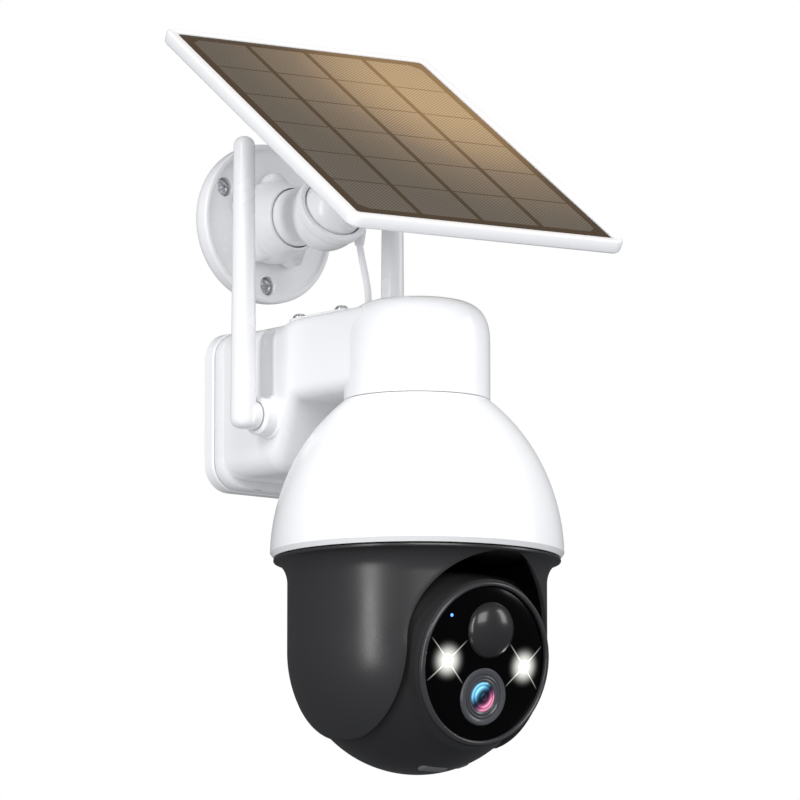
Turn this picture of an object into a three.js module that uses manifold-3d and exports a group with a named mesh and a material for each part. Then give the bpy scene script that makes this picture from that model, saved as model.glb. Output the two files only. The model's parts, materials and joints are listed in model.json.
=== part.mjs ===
// A wall-mounted, solar-powered pan and tilt security camera, in millimetres, +Z up.
// The wall is the plane Y = 0 and the camera looks along -Y. The origin is the centre of the
// camera's wall plate, on its back face.
import * as THREE from "three";
import { mergeVertices } from "three/addons/utils/BufferGeometryUtils.js";
import Module from "manifold-3d";

const wasm = await Module();
wasm.setup();

// ---------------------------------------------------------------- driving dimensions
const GAP = 0.3; // clearance between two pieces that touch
const RUN = 0.4; // radial clearance of a turning fit
const RING = 36; // facets round a large piece
const SMALL_RING = 16; // facets round a small piece

// Wall plate and bracket
const PLATE_W = 49;
const PLATE_H = 62;
const PLATE_T = 6;
const PLATE_CORNER = 11;
const FLANGE_T = 6;
const BODY_W = 47;
const BODY_TOP = 29.6;
const BODY_BOTTOM = -27;
const BODY_DEPTH = 47; // from the wall to where the arm starts to widen
const GUSSET_OUT = 57; // from the wall to the gusset's top edge
const ARM_W = 53;
const ARM_BOTTOM = -1.5;
const SHELL_WALL = 2.4;

// Cover on the arm's top
const COVER_W = 35;
const COVER_NEAR = 42; // from the wall to the cover's near edge
const COVER_FAR = 78;
const COVER_T = 1.8;
const COVER_SCREWS = [46.5, 72]; // from the wall to each pair of screws
const COVER_SCREW_X = 14;
const COVER_SCREW_R = 2.6;

// Pan axis, neck and dome
const PAN_OUT = 100; // from the wall to the pan axis
const NECK_R = 27.5;
const NECK_TOP = 32.5;
const NECK_ROUND = 14;
const DOME_TOP = -5.3;
const RIM_R = 55;
const RIM_Z = -62.5;
const RIM_LIP = 1.8;
const SPIGOT_R = 24.4; // dome spigot inside the neck
const SPIGOT_H = 6;

// Pan housing and its drive
const PAN_R = 48.5;
const LIP_INSET = 1.2; // the pan housing's lip inside the dome's rim
const PAN_LIP_R = RIM_R - LIP_INSET;
const PAN_WALL = 2;
const HUB_R = 12;
const HUB_BORE = 8;
const GEAR_MODULE = 0.8;
const PAN_TEETH = 60;
const PAN_PINION_TEETH = 12;
const GEAR_T = 4;
const PAN_MOTOR_R = 12;
const PAN_MOTOR_H = 12;

// Battery
const CELL_R = 9.2;
const CELL_L = 62;

// Camera head
const HEAD_DROP = 37; // from the rim down to the tilt axis
const HEAD_R = 45.7;
const HEAD_W = 66;
const HEAD_WALL = 2.2;
const HEAD_TILT = 10.4; // degrees that the face looks down at rest
const FACE_OUT = 40.4; // from the tilt axis to the window's face
const FACE_RIM = 1.2;
const DRUM_INSET = 1.6; // the drum's side inside the head's cheeks
const DRUM_R = HEAD_W / 2 - DRUM_INSET;
const FACE_INSET = 1.9; // the face's edge inside the drum's side
const FACE_R = DRUM_R - FACE_INSET;
const WINDOW_T = 2;
const PIR_R = 10.4;
const LENS_R = 10.6;
const EYE_SPACING = 12.3; // motion sensor above and lens below the face centre
const LED_SPACING = 18.2;
const LED_R = 3;
const STATUS_INSET = 3.7; // status light inside the window's edge
const STATUS_ANGLE = 137.6; // degrees round the face from its right side
const TRUNNION_R = 5;
const TILT_TEETH = 36;
const TILT_PINION_TEETH = 12;
const TILT_MODULE = 0.7;

// Antennas
const ANTENNA_L = 113;
const ANTENNA_R = 4.6;
const ANTENNA_TOP_R = 3.8;
const ANTENNA_SPREAD = 36.5; // from the middle plane to an antenna's axis
const PIVOT_OUT = 40.6;
const PIVOT_Z = -6.7;
const BOSS_R = 7.3;
const PIN_R = 2.2; // pivot pin in its boss
const PIN_L = 4.5;

// Solar mount
const SOLAR_Z = 75.2;
const BASE_R = 31.3;
const BASE_BACK_R = 28.2;
const BASE_T = 9.5;
const SCREW_CIRCLE = 24.5;
const SCREW_R = 3.4;
const NUT_R = 16.2;
const NUT_LOBE = 3.4;
const NUT_BACK = 8.9; // from the wall to the nut's back
const NUT_FRONT = 26;
const STUB_R = 11.2;
const CUP_OUT = 49; // from the wall to the centre of the cup's rim
const CUP_RISE = 25.6; // degrees between the cup's axis and the stub
const CUP_ROLL = -19.4; // degrees that the elbow is swivelled at rest
const BALL_R = 11.9;
const BALL_SINK = 1; // ball centre behind the cup's rim
const CUP_WALL = 2.5; // round the socket at the cup's rim
const CUP_R = BALL_R + RUN + CUP_WALL;
const CUP_BACK = 3.7; // behind the socket
const CUP_DEPTH = BALL_R + RUN + BALL_SINK + CUP_BACK;

// Solar panel
const PANEL_W = 118;
const PANEL_L = 177;
const PANEL_T = 5.6;
const PANEL_LIP = 4;
const PANEL_CORNER = 5;
const LAMINATE_T = 1.6;
const PANEL_TILT = 33.2;
const PANEL_YAW = -9;
const STEM_H = 40.2; // from the ball centre to the laminate's face
const PANEL_DOWN = 16.6; // panel centre down the slope from the stem
const PANEL_SIDE = 5.5; // panel centre to the right of the stem

// Lead from the cup to the charging socket
const LEAD_R = 1.3;
const GLAND_R = 2.6;
const SOCKET_OUT = 20;
const SOCKET_Z = -9;
const PLUG_R = 3.8;
const PLUG_L = 14;

// ---------------------------------------------------------------- helpers
const rad = THREE.MathUtils.degToRad;

function toSolid(geometry) {
  if (!geometry.isBufferGeometry) {
    return geometry;
  }
  const bare = geometry.index ? geometry.toNonIndexed() : geometry.clone();
  bare.deleteAttribute("normal");
  bare.deleteAttribute("uv");
  const merged = mergeVertices(bare, 1e-4);
  const vertProperties = new Float32Array(merged.attributes.position.array);
  const triVerts = new Uint32Array(merged.index.array);
  return new wasm.Manifold(new wasm.Mesh({ numProp: 3, vertProperties, triVerts }));
}

function toGeometry(solid) {
  const mesh = solid.getMesh();
  const geometry = new THREE.BufferGeometry();
  geometry.setAttribute("position", new THREE.BufferAttribute(mesh.vertProperties, 3));
  geometry.setIndex(new THREE.BufferAttribute(mesh.triVerts, 1));
  geometry.computeVertexNormals();
  return geometry;
}

// A turned solid about Z. The profile is a list of [radius, z], either way round, that starts and
// ends on the axis or closes on itself.
function turned(profile, segments = RING) {
  const points = profile.map(([r, z]) => new THREE.Vector2(Math.max(r, 0), z));
  const last = points.at(-1);
  let area = last.cross(points[0]);
  for (let i = 1; i < points.length; i++) {
    area += points[i - 1].cross(points[i]);
  }
  if (area < 0) {
    points.reverse();
  }
  return new THREE.LatheGeometry(points, segments).rotateX(Math.PI / 2);
}

// Points [radius, z] on an arc round [r, z], between two angles in degrees from +r.
function arc(r, z, radius, from, to, steps = 6, rise = radius) {
  const points = [];
  for (let i = 0; i <= steps; i++) {
    const angle = rad(from + ((to - from) * i) / steps);
    points.push([r + radius * Math.cos(angle), z + rise * Math.sin(angle)]);
  }
  return points;
}

// A rod about Z between two heights, with an optional second radius at the top.
function rod(r, low, high, segments = SMALL_RING, topR = r) {
  return turned([[0, low], [r, low], [topR, high], [0, high]], segments);
}

// The same turned shapes laid along -Y, so that a profile's z is the distance out from the wall.
const outward = (geometry) => geometry.rotateX(Math.PI / 2);
// The same laid along +X.
const sideways = (geometry) => geometry.rotateY(Math.PI / 2);

function block(low, high) {
  const size = high.map((v, i) => v - low[i]);
  const middle = high.map((v, i) => (v + low[i]) / 2);
  return new THREE.BoxGeometry(...size).translate(...middle);
}

function roundedRectangle(width, height, radius) {
  const shape = new THREE.Shape();
  const x = width / 2 - radius;
  const y = height / 2 - radius;
  shape.absarc(x, -y, radius, -Math.PI / 2, 0);
  shape.absarc(x, y, radius, 0, Math.PI / 2);
  shape.absarc(-x, y, radius, Math.PI / 2, Math.PI);
  shape.absarc(-x, -y, radius, Math.PI, 1.5 * Math.PI);
  return shape;
}

function slab(shape, low, high, curveSegments = 5) {
  const options = { depth: high - low, bevelEnabled: false, curveSegments };
  return new THREE.ExtrudeGeometry(shape, options).translate(0, 0, low);
}

// A slab of an XZ outline that runs from one distance out from the wall to another.
const wallSlab = (shape, near, far) => slab(shape, near, far).rotateX(Math.PI / 2);

const join = (first, ...rest) => rest.reduce((sum, g) => sum.add(toSolid(g)), toSolid(first));
const cut = (first, ...tools) =>
  tools.reduce((left, g) => left.subtract(toSolid(g)), toSolid(first));

// A spur gear about Z with straight flanks. half turns it by half a tooth.
function gear(teeth, module, thickness, boreR, half = 0) {
  const shape = new THREE.Shape();
  const root = (module * teeth) / 2 - 1.15 * module;
  const tip = (module * teeth) / 2 + 0.85 * module;
  const pitch = (2 * Math.PI) / teeth;
  const corners = [[root, -0.34], [tip, -0.13], [tip, 0.13], [root, 0.34]];
  for (let i = 0; i < teeth; i++) {
    for (const [r, share] of corners) {
      const angle = (i + half / 2 + share) * pitch;
      const go = i === 0 && share === corners[0][1] ? "moveTo" : "lineTo";
      shape[go](r * Math.cos(angle), r * Math.sin(angle));
    }
  }
  if (boreR > 0) {
    const bore = new THREE.Path();
    bore.absarc(0, 0, boreR, 0, 2 * Math.PI, true);
    shape.holes.push(bore);
  }
  return slab(shape, 0, thickness, 12);
}

// ---------------------------------------------------------------- materials
const finish = (color, roughness, metalness = 0) =>
  new THREE.MeshStandardMaterial({ color, roughness, metalness });
const whiteAbs = () => finish(0xf1f1f2, 0.35);
const darkAbs = () => finish(0x38383a, 0.42);
const windowBlack = () => finish(0x0a0a0b, 0.08);
const softRubber = () => finish(0x2b2b2c, 0.8);
const leadWhite = () => finish(0xe9e9ea, 0.5);
const chromeSteel = () => finish(0xc9cbce, 0.18, 1);
const motorSteel = () => finish(0xa4a7ab, 0.35, 1);
const gearNylon = () => finish(0xe4e0d2, 0.5);
const boardGreen = () => finish(0x1d5a3a, 0.6);
const cellWrap = () => finish(0x2f6fb3, 0.4);
const cellBlack = () => finish(0x4a4740, 0.15);
const lensGlass = () => finish(0x0d1a2c, 0.03);
const ledClear = () => finish(0xf6f6ee, 0.2);

const part = new THREE.Group();

function place(parent, name, shape, material) {
  const geometry = shape.isBufferGeometry ? shape : toGeometry(shape);
  const mesh = new THREE.Mesh(geometry, material);
  mesh.name = name;
  parent.add(mesh);
  return mesh;
}

function frame(parent, x, y, z) {
  const group = new THREE.Group();
  group.position.set(x, y, z);
  parent.add(group);
  return group;
}

// ---------------------------------------------------------------- wall plate and bracket
const SCREW_HOLE_Z = 19;

function wallPlate() {
  const plate = toSolid(wallSlab(roundedRectangle(PLATE_W, PLATE_H, PLATE_CORNER), 0, PLATE_T));
  const holes = [];
  for (const x of [-12, 12]) {
    for (const z of [-SCREW_HOLE_Z, SCREW_HOLE_Z]) {
      holes.push(outward(rod(2.3, -1, PLATE_T + 1, 12)).translate(x, 0, z));
    }
  }
  const posts = [[-15, -10], [15, -10], [-15, 10], [15, 10]].map(([x, z]) =>
    outward(rod(2, PLATE_T - 0.5, PLATE_T + 7 - GAP, 12)).translate(x, 0, z),
  );
  return join(cut(plate, ...holes), ...posts);
}

// The bracket: a body on the wall plate, a gusset under an arm, and the neck round the pan axis.
function armOutline(width) {
  const half = width / 2;
  const narrow = BODY_W / 2;
  const shape = new THREE.Shape();
  shape.moveTo(-narrow, -BODY_DEPTH + 8);
  shape.lineTo(-narrow, -BODY_DEPTH + 3);
  shape.lineTo(-half, -BODY_DEPTH - 5);
  shape.lineTo(-half, -PAN_OUT);
  shape.lineTo(half, -PAN_OUT);
  shape.lineTo(half, -BODY_DEPTH - 5);
  shape.lineTo(narrow, -BODY_DEPTH + 3);
  shape.lineTo(narrow, -BODY_DEPTH + 8);
  return shape;
}

function neck(inset, low) {
  const r = NECK_R - NECK_ROUND;
  const round = arc(r, NECK_TOP - NECK_ROUND, NECK_ROUND - inset, 0, 90);
  const profile = [[0, low], [NECK_R - inset, low], ...round, [0, NECK_TOP - inset]];
  return turned(profile).translate(0, -PAN_OUT, 0);
}

// The gusset's side outline: distance out from the wall, then height.
function gussetOutline() {
  const shape = new THREE.Shape();
  shape.moveTo(BODY_DEPTH - 12, ARM_BOTTOM + 10);
  shape.lineTo(BODY_DEPTH - 12, BODY_BOTTOM);
  shape.lineTo(BODY_DEPTH - 8, BODY_BOTTOM);
  shape.lineTo(BODY_DEPTH - 4, BODY_BOTTOM + 4);
  shape.lineTo(GUSSET_OUT, ARM_BOTTOM);
  shape.lineTo(GUSSET_OUT, ARM_BOTTOM + 10);
  return shape;
}

const bodyHeight = BODY_TOP - BODY_BOTTOM;
const bodyMiddle = (BODY_TOP + BODY_BOTTOM) / 2;
const neckBottom = DOME_TOP + GAP;
// A YZ outline, given as distance out and height, run across the width.
const acrossSlab = (shape, half) =>
  slab(shape, -half, half).rotateX(Math.PI / 2).rotateZ(-Math.PI / 2);

const bossFace = ANTENNA_SPREAD - ANTENNA_R - 1.2;

// A turned shape laid along +X or -X on the antennas' pivot axis.
function atPivot(side, geometry) {
  return sideways(geometry).rotateZ(side > 0 ? 0 : Math.PI).translate(0, -PIVOT_OUT, PIVOT_Z);
}

function bracketHousing() {
  const w = SHELL_WALL;
  const halfBody = BODY_W / 2;
  const flange = roundedRectangle(PLATE_W - 1, PLATE_H - 1, PLATE_CORNER - 0.5);
  const body = roundedRectangle(BODY_W, bodyHeight, 9);
  const bodyInside = roundedRectangle(BODY_W - 2 * w, bodyHeight - 2 * w, 7);
  const boss = rod(BOSS_R + 1.6, halfBody - 3, bossFace, 24, BOSS_R);
  const pinHole = rod(PIN_R + RUN, bossFace - PIN_L - 0.5, bossFace + 1, 16);
  const outer = join(
    wallSlab(flange, PLATE_T + GAP, PLATE_T + FLANGE_T),
    wallSlab(body, PLATE_T + FLANGE_T - 1, BODY_DEPTH - 5).translate(0, 0, bodyMiddle),
    acrossSlab(gussetOutline(), halfBody),
    slab(armOutline(ARM_W), ARM_BOTTOM, BODY_TOP),
    neck(0, neckBottom),
    ...[-1, 1].map((side) => atPivot(side, boss.clone())),
  );
  const inside = join(
    wallSlab(bodyInside, PLATE_T - 1, BODY_DEPTH - 5).translate(0, 0, bodyMiddle),
    block(
      [-halfBody + w, -PAN_OUT, ARM_BOTTOM + w],
      [halfBody - w, -BODY_DEPTH + 8, BODY_TOP - w],
    ),
    neck(w, neckBottom - 1),
  );
  const socketHole = sideways(rod(PLUG_R + 0.6, halfBody - 4, halfBody + 4, 16));
  const notchTop = -PLATE_H / 2 + 2.6;
  return cut(
    outer.subtract(inside),
    socketHole.translate(0, -SOCKET_OUT, SOCKET_Z),
    block([-8.8, -PLATE_T - FLANGE_T - 1, -PLATE_H / 2 - 1], [-4.4, -PLATE_T - 1, notchTop]),
    ...[-1, 1].map((side) => atPivot(side, pinHole.clone())),
  );
}

place(part, "wall_plate", wallPlate(), whiteAbs());
place(part, "bracket_housing", bracketHousing(), whiteAbs());
const latchLow = [-8.4, -PLATE_T - FLANGE_T + 0.6, -PLATE_H / 2 + 0.8];
const latchHigh = [-4.8, -PLATE_T - 1.4, -PLATE_H / 2 + 2.2];
place(part, "latch_tab", block(latchLow, latchHigh), darkAbs());
place(
  part,
  "main_board",
  block([-18.5, -PLATE_T - 8.6, BODY_BOTTOM + 5], [18.5, -PLATE_T - 7, BODY_TOP - 7]),
  boardGreen(),
);

// The cover let into the arm's top, with its four screws.
const coverLow = BODY_TOP + GAP;
const coverHigh = coverLow + COVER_T;
const coverShape = roundedRectangle(COVER_W, COVER_FAR - COVER_NEAR, 4);
const coverMiddle = -(COVER_FAR + COVER_NEAR) / 2;
const coverHoles = [];
let coverScrew = 1;
for (const out of COVER_SCREWS) {
  for (const x of [-COVER_SCREW_X, COVER_SCREW_X]) {
    coverHoles.push(rod(1.9, coverLow - 1, coverHigh + 1, 12).translate(x, -out, 0));
    const headTopZ = coverHigh + 1.8;
    const headEdge = [[COVER_SCREW_R, coverHigh + GAP], [COVER_SCREW_R, coverHigh + 1]];
    const shank = [[0, coverLow], [1.5, coverLow], [1.5, coverHigh + GAP]];
    const profile = [...shank, ...headEdge, [1.7, headTopZ], [0, headTopZ]];
    const screw = turned(profile, 12).translate(x, -out, 0);
    place(part, `cover_screw_${coverScrew}`, screw, chromeSteel());
    coverScrew += 1;
  }
}
const cover = toSolid(slab(coverShape, coverLow, coverHigh).translate(0, coverMiddle, 0));
place(part, "arm_cover", cut(cover, ...coverHoles), whiteAbs());

// ---------------------------------------------------------------- dome
const domeWall = 2.4;

// The dome's outer curve from the rim to the neck: a cubic with [radius, z] ends and handles.
const domeCurve = new THREE.CubicBezierCurve(
  new THREE.Vector2(RIM_R, RIM_Z),
  new THREE.Vector2(RIM_R - 0.4, RIM_Z + 20),
  new THREE.Vector2(RIM_R - 9, RIM_Z + 42.5),
  new THREE.Vector2(NECK_R, DOME_TOP),
);

function domeShell() {
  const outer = [];
  const inner = [];
  const steps = 9;
  for (let i = 0; i <= steps; i++) {
    const point = domeCurve.getPoint(i / steps);
    const along = domeCurve.getTangent(i / steps);
    outer.push([point.x, point.y]);
    inner.unshift([point.x - domeWall * along.y, point.y + domeWall * along.x]);
  }
  const spigotTop = DOME_TOP + SPIGOT_H;
  const spigotBore = SPIGOT_R - 2;
  const lipZ = RIM_Z - RIM_LIP;
  return turned([
    [RIM_R - 0.8, lipZ],
    ...outer,
    [SPIGOT_R, DOME_TOP],
    [SPIGOT_R, spigotTop],
    [spigotBore, spigotTop],
    [spigotBore, DOME_TOP - 2.2],
    ...inner.slice(1),
    [RIM_R - domeWall - 0.6, lipZ],
    [RIM_R - 0.8, lipZ],
  ], 52);
}

const axis = frame(part, 0, -PAN_OUT, 0);
place(axis, "dome_shell", domeShell(), whiteAbs());

// The floor plate that closes the dome and carries the hub.
const floorLow = RIM_Z - 0.9;
const floorHigh = RIM_Z + 1.1;
const floorR = RIM_R - domeWall - 0.9;
const floorBore = HUB_R + RUN;
const floorProfile = [
  [floorBore, floorLow],
  [floorR, floorLow],
  [floorR, floorHigh],
  [floorBore, floorHigh],
];
place(axis, "base_ring", turned([...floorProfile, floorProfile[0]]), darkAbs());

// Pan gear on the hub, its retainer, the motor and its pinion behind the axis.
const gearLow = floorHigh + GAP;
const gearHigh = gearLow + GEAR_T;
const retainerTop = gearHigh + GAP + 2;
const hubTop = retainerTop + 1.5;
const panGear = gear(PAN_TEETH, GEAR_MODULE, GEAR_T, HUB_R + GAP).translate(0, 0, gearLow);
place(axis, "pan_gear", panGear, gearNylon());
const retainerBore = HUB_R + GAP;
const retainer = [
  [retainerBore, gearHigh + GAP],
  [HUB_R + 4, gearHigh + GAP],
  [HUB_R + 4, retainerTop],
  [retainerBore, retainerTop],
];
place(axis, "hub_retainer", turned([...retainer, retainer[0]]), chromeSteel());
const panCentres = (GEAR_MODULE * (PAN_TEETH + PAN_PINION_TEETH)) / 2 + 0.25;
const pinionAxis = frame(axis, 0, panCentres, 0);
const panPinion = join(
  gear(PAN_PINION_TEETH, GEAR_MODULE, GEAR_T, 0, 1).translate(0, 0, gearLow),
  rod(1.5, gearHigh - 0.5, gearHigh + 2, 12),
);
place(pinionAxis, "pan_pinion", panPinion, gearNylon());
const panMotorLow = gearHigh + 2 + GAP;
const panMotorHigh = panMotorLow + PAN_MOTOR_H;
place(pinionAxis, "pan_motor", rod(PAN_MOTOR_R, panMotorLow, panMotorHigh, 24), motorSteel());

// Battery cells standing in the neck on their cradle.
const cradleLow = panMotorHigh + GAP;
const legs = [30, 150, 270].map((degrees) => {
  const angle = rad(degrees);
  const leg = rod(2.2, floorHigh + GAP, cradleLow + 0.5, 12);
  return leg.translate(28.5 * Math.cos(angle), 28.5 * Math.sin(angle), 0);
});
place(axis, "battery_cradle", join(rod(31, cradleLow, cradleLow + 1.8, 28), ...legs), darkAbs());
const cellCircle = (2 * (CELL_R + 0.2)) / Math.sqrt(3);
for (let i = 0; i < 3; i++) {
  const angle = Math.PI / 2 + (i * 2 * Math.PI) / 3;
  const cellLow = cradleLow + 1.8 + GAP;
  const cell = rod(CELL_R, cellLow, cellLow + CELL_L, 18);
  cell.translate(cellCircle * Math.cos(angle), cellCircle * Math.sin(angle), 0);
  place(axis, `battery_cell_${i + 1}`, cell, cellWrap());
}

// ---------------------------------------------------------------- pan housing
const panTop = RIM_Z - RIM_LIP - 0.5;
const headZ = RIM_Z - HEAD_DROP;
const earHalf = HEAD_W / 2 + 0.5; // from the middle plane to an ear's inner wall
const earWall = 1.8;
const earBottom = headZ - 34.5;

function panHousing() {
  const inR = PAN_R - PAN_WALL;
  const outerArc = arc(0, headZ, PAN_R, 0, -45, 6);
  const lipLow = panTop - 1.2;
  const flare = arc(PAN_LIP_R, panTop - 9.5, PAN_LIP_R - PAN_R, 90, 180, 5, 8.3);
  const bottomR = Math.sqrt(PAN_R ** 2 - (headZ - earBottom) ** 2);
  const outer = turned([
    [0, panTop],
    [PAN_LIP_R, panTop],
    [PAN_LIP_R, lipLow],
    ...flare.slice(1),
    ...outerArc,
    [bottomR, earBottom],
    [0, earBottom],
  ]);
  const ceiling = panTop - 1.4;
  const inner = turned([
    [0, ceiling],
    [inR, ceiling],
    ...arc(0, headZ, inR, 0, -52, 6),
    [0, headZ - inR * Math.sin(rad(52))],
  ]);
  const arch = new THREE.Shape();
  arch.moveTo(earHalf, -60);
  arch.lineTo(earHalf, 0);
  arch.absarc(0, 0, earHalf, 0, Math.PI);
  arch.lineTo(-earHalf, -60);
  const body = toSolid(outer);
  const walls = [-1, 1].map((side) => {
    const near = Math.min(side * earHalf, side * (earHalf + earWall));
    return toSolid(block([near, -60, earBottom - 1], [near + earWall, 60, panTop - 0.5]));
  });
  let shell = cut(body, inner);
  for (const wall of walls) {
    shell = shell.add(wall.intersect(body));
  }
  shell = cut(shell, wallSlab(arch, 0, 60).translate(0, 0, headZ));
  shell = cut(shell, block([-earHalf, -60, headZ - 60], [earHalf, 60, headZ - 20]));
  shell = shell.add(toSolid(rod(HUB_R, panTop - 1, hubTop, 32)));
  const trunnionHoles = sideways(rod(TRUNNION_R + GAP, -earHalf - 3, earHalf + 3, 20));
  const hubBore = rod(HUB_BORE, panTop - 3, hubTop + 1, 24);
  return cut(shell, hubBore, trunnionHoles.translate(0, 0, headZ));
}

place(axis, "pan_housing", panHousing(), darkAbs());

// ---------------------------------------------------------------- camera head
// Built facing -Y round the tilt axis, then tipped down to its rest angle.
const head = frame(axis, 0, 0, headZ);
head.rotation.x = rad(HEAD_TILT);

const drumFront = FACE_OUT - 1.7;
const windowBack = FACE_OUT - WINDOW_T;
const windowR = FACE_R - FACE_RIM;
const headTop = 32; // from the tilt axis up to the head's flat top
const splitOut = -9; // the rear shell starts this far behind the tilt axis
const HATCH_ANGLE = -24; // the service hatch sits this far forward of straight down
const FLAP = { low: -7.8, high: 5, half: 2.2, out: 46, deep: 1.4 };
const BUTTON = { low: 10.6, high: 16.2, half: 2.2, out: 43.2, deep: 2 };

const inHatch = (geometry) => geometry.rotateX(rad(HATCH_ANGLE));

function hatchBlock(size, grow, out, deep) {
  const half = size.half + grow;
  return inHatch(block([size.low - grow, -half, -out], [size.high + grow, half, -deep]));
}

// The room that the head may fill and still tip from level to straight down under the ceiling.
function headRoom(r) {
  return join(
    block([-60, -60, -60], [60, 0, r]),
    sideways(rod(r, -60, 60, 40)),
    block([-60, -5, -60], [60, r, 0]),
  );
}

function headBall(r, half, room) {
  const ball = toSolid(turned(arc(0, 0, r, -90, 90, 16), 40));
  const cheeks = toSolid(block([-half, -drumFront, -60], [half, 60, 60]));
  return ball.intersect(cheeks).intersect(headRoom(room));
}

function headShell() {
  const half = HEAD_W / 2;
  const drum = outward(rod(DRUM_R, 18, drumFront, 48, FACE_R + 0.5));
  const bore = outward(rod(windowR + GAP, 20, 60, 48));
  const hollow = headBall(HEAD_R - HEAD_WALL, half - HEAD_WALL, headTop - HEAD_WALL);
  const shell = cut(headBall(HEAD_R, half, headTop).add(toSolid(drum)).subtract(hollow), bore);
  return cut(
    shell,
    sideways(rod(TRUNNION_R + RUN, -half - 1, half + 1, 20)),
    hatchBlock(FLAP, GAP, 50, FLAP.out - FLAP.deep - GAP),
    inHatch(block([-5, -0.8, -50], [2, 0.8, -38])),
    hatchBlock(BUTTON, GAP, 50, 36),
  );
}

const shell = headShell();
const behind = toSolid(block([-60, -splitOut + GAP / 2, -60], [60, 60, 60]));
const ahead = toSolid(block([-60, -60, -60], [60, -splitOut - GAP / 2, 60]));
place(head, "head_front", shell.intersect(ahead), darkAbs());
place(head, "head_rear", shell.intersect(behind), darkAbs());
for (const [name, size] of [["card_flap", FLAP], ["power_button", BUTTON]]) {
  place(head, name, hatchBlock(size, 0, size.out, size.out - size.deep), softRubber());
}

const bezel = [
  [windowR + GAP, drumFront + GAP],
  [FACE_R + 0.5, drumFront + GAP],
  [FACE_R + 0.4, FACE_OUT],
  [FACE_R - 0.3, FACE_OUT + 0.5],
  [windowR + GAP, FACE_OUT + 0.3],
];
place(head, "face_bezel", outward(turned([...bezel, bezel[0]], 48)), darkAbs());
const faceHoles = [
  outward(rod(PIR_R + GAP, 30, 50, 32)).translate(0, 0, EYE_SPACING),
  outward(rod(LENS_R + GAP, 30, 50, 32)).translate(0, 0, -EYE_SPACING),
];
const pane = toSolid(outward(rod(windowR, windowBack, FACE_OUT, 48)));
place(head, "face_window", cut(pane, ...faceHoles), windowBlack());

const pirEdge = PIR_R - 1.3;
const pirLens = outward(
  turned([
    ...arc(0, FACE_OUT - 0.3, pirEdge, 90, 0, 6, 4.9),
    [pirEdge, windowBack - 1],
    [PIR_R, windowBack - 1],
    ...arc(0, FACE_OUT - 0.3, PIR_R, 0, 90, 6, 6.2),
  ], 32),
).translate(0, 0, EYE_SPACING);
place(head, "motion_lens", pirLens, windowBlack());
place(head, "motion_sensor", outward(rod(4.2, 32, 38, 16)).translate(0, 0, EYE_SPACING), chromeSteel());

const ringBore = 6.3;
const lensRing = [
  [ringBore, windowBack + 0.6],
  [LENS_R, windowBack + 0.6],
  [LENS_R, FACE_OUT + 0.5],
  [LENS_R - 1.1, FACE_OUT + 1],
  [LENS_R - 3, FACE_OUT],
  [ringBore, FACE_OUT - 0.5],
];
place(
  head,
  "lens_ring",
  outward(turned([...lensRing, lensRing[0]], 32)).translate(0, 0, -EYE_SPACING),
  darkAbs(),
);
place(
  head,
  "lens_barrel",
  outward(rod(ringBore - GAP, 24, windowBack - 0.4, 24)).translate(0, 0, -EYE_SPACING),
  darkAbs(),
);
const glassR = ringBore - GAP;
const glassFront = arc(0, FACE_OUT - 1.2, glassR, 0, 90, 4, 1.4);
const glass = outward(turned([[0, windowBack], [glassR, windowBack], ...glassFront], 24));
place(head, "lens_glass", glass.translate(0, 0, -EYE_SPACING), lensGlass());
place(head, "sensor_board", outward(rod(24, 21.9, 23.5, 32)), boardGreen());
for (const [name, side] of [["spotlight_left", -1], ["spotlight_right", 1]]) {
  const lamp = outward(rod(LED_R, windowBack - 3.4, windowBack - GAP, 16));
  place(head, name, lamp.translate(side * LED_SPACING, 0, 0), ledClear());
}
const statusR = windowR - STATUS_INSET;
const statusX = statusR * Math.cos(rad(STATUS_ANGLE));
const statusZ = statusR * Math.sin(rad(STATUS_ANGLE));
const statusLight = outward(rod(0.9, windowBack - 2.3, windowBack - GAP, 10));
place(head, "status_light", statusLight.translate(statusX, 0, statusZ), ledClear());
place(head, "speaker", outward(rod(11, -27, -21, 24)), darkAbs());

// Trunnions from the ears into the head, and the tilt gear on the right one.
const gearOuter = HEAD_W / 2 - HEAD_WALL - 0.8;
const tiltGearT = 3;
for (const [name, side] of [["trunnion_left", -1], ["trunnion_right", 1]]) {
  const flange = earHalf + earWall + GAP;
  const pin = turned([
    [0, gearOuter - tiltGearT - 0.5],
    [TRUNNION_R, gearOuter - tiltGearT - 0.5],
    [TRUNNION_R, flange],
    [8, flange],
    [8, flange + 1.6],
    [0, flange + 1.6],
  ], 20);
  place(head, name, sideways(pin).rotateZ(side > 0 ? 0 : Math.PI), chromeSteel());
}
const tiltGear = sideways(gear(TILT_TEETH, TILT_MODULE, tiltGearT, TRUNNION_R + GAP));
place(head, "tilt_gear", tiltGear.translate(gearOuter - tiltGearT, 0, 0), gearNylon());
const tiltCentres = (TILT_MODULE * (TILT_TEETH + TILT_PINION_TEETH)) / 2 + 0.25;
const tiltPinion = sideways(gear(TILT_PINION_TEETH, TILT_MODULE, tiltGearT, 0, 1));
place(head, "tilt_pinion", tiltPinion.translate(gearOuter - tiltGearT, 0, tiltCentres), gearNylon());
const tiltMotorEnd = gearOuter - tiltGearT - GAP;
const tiltMotor = sideways(rod(8.5, tiltMotorEnd - 15, tiltMotorEnd, 20));
place(head, "tilt_motor", tiltMotor.translate(0, 0, tiltCentres), motorSteel());

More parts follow.
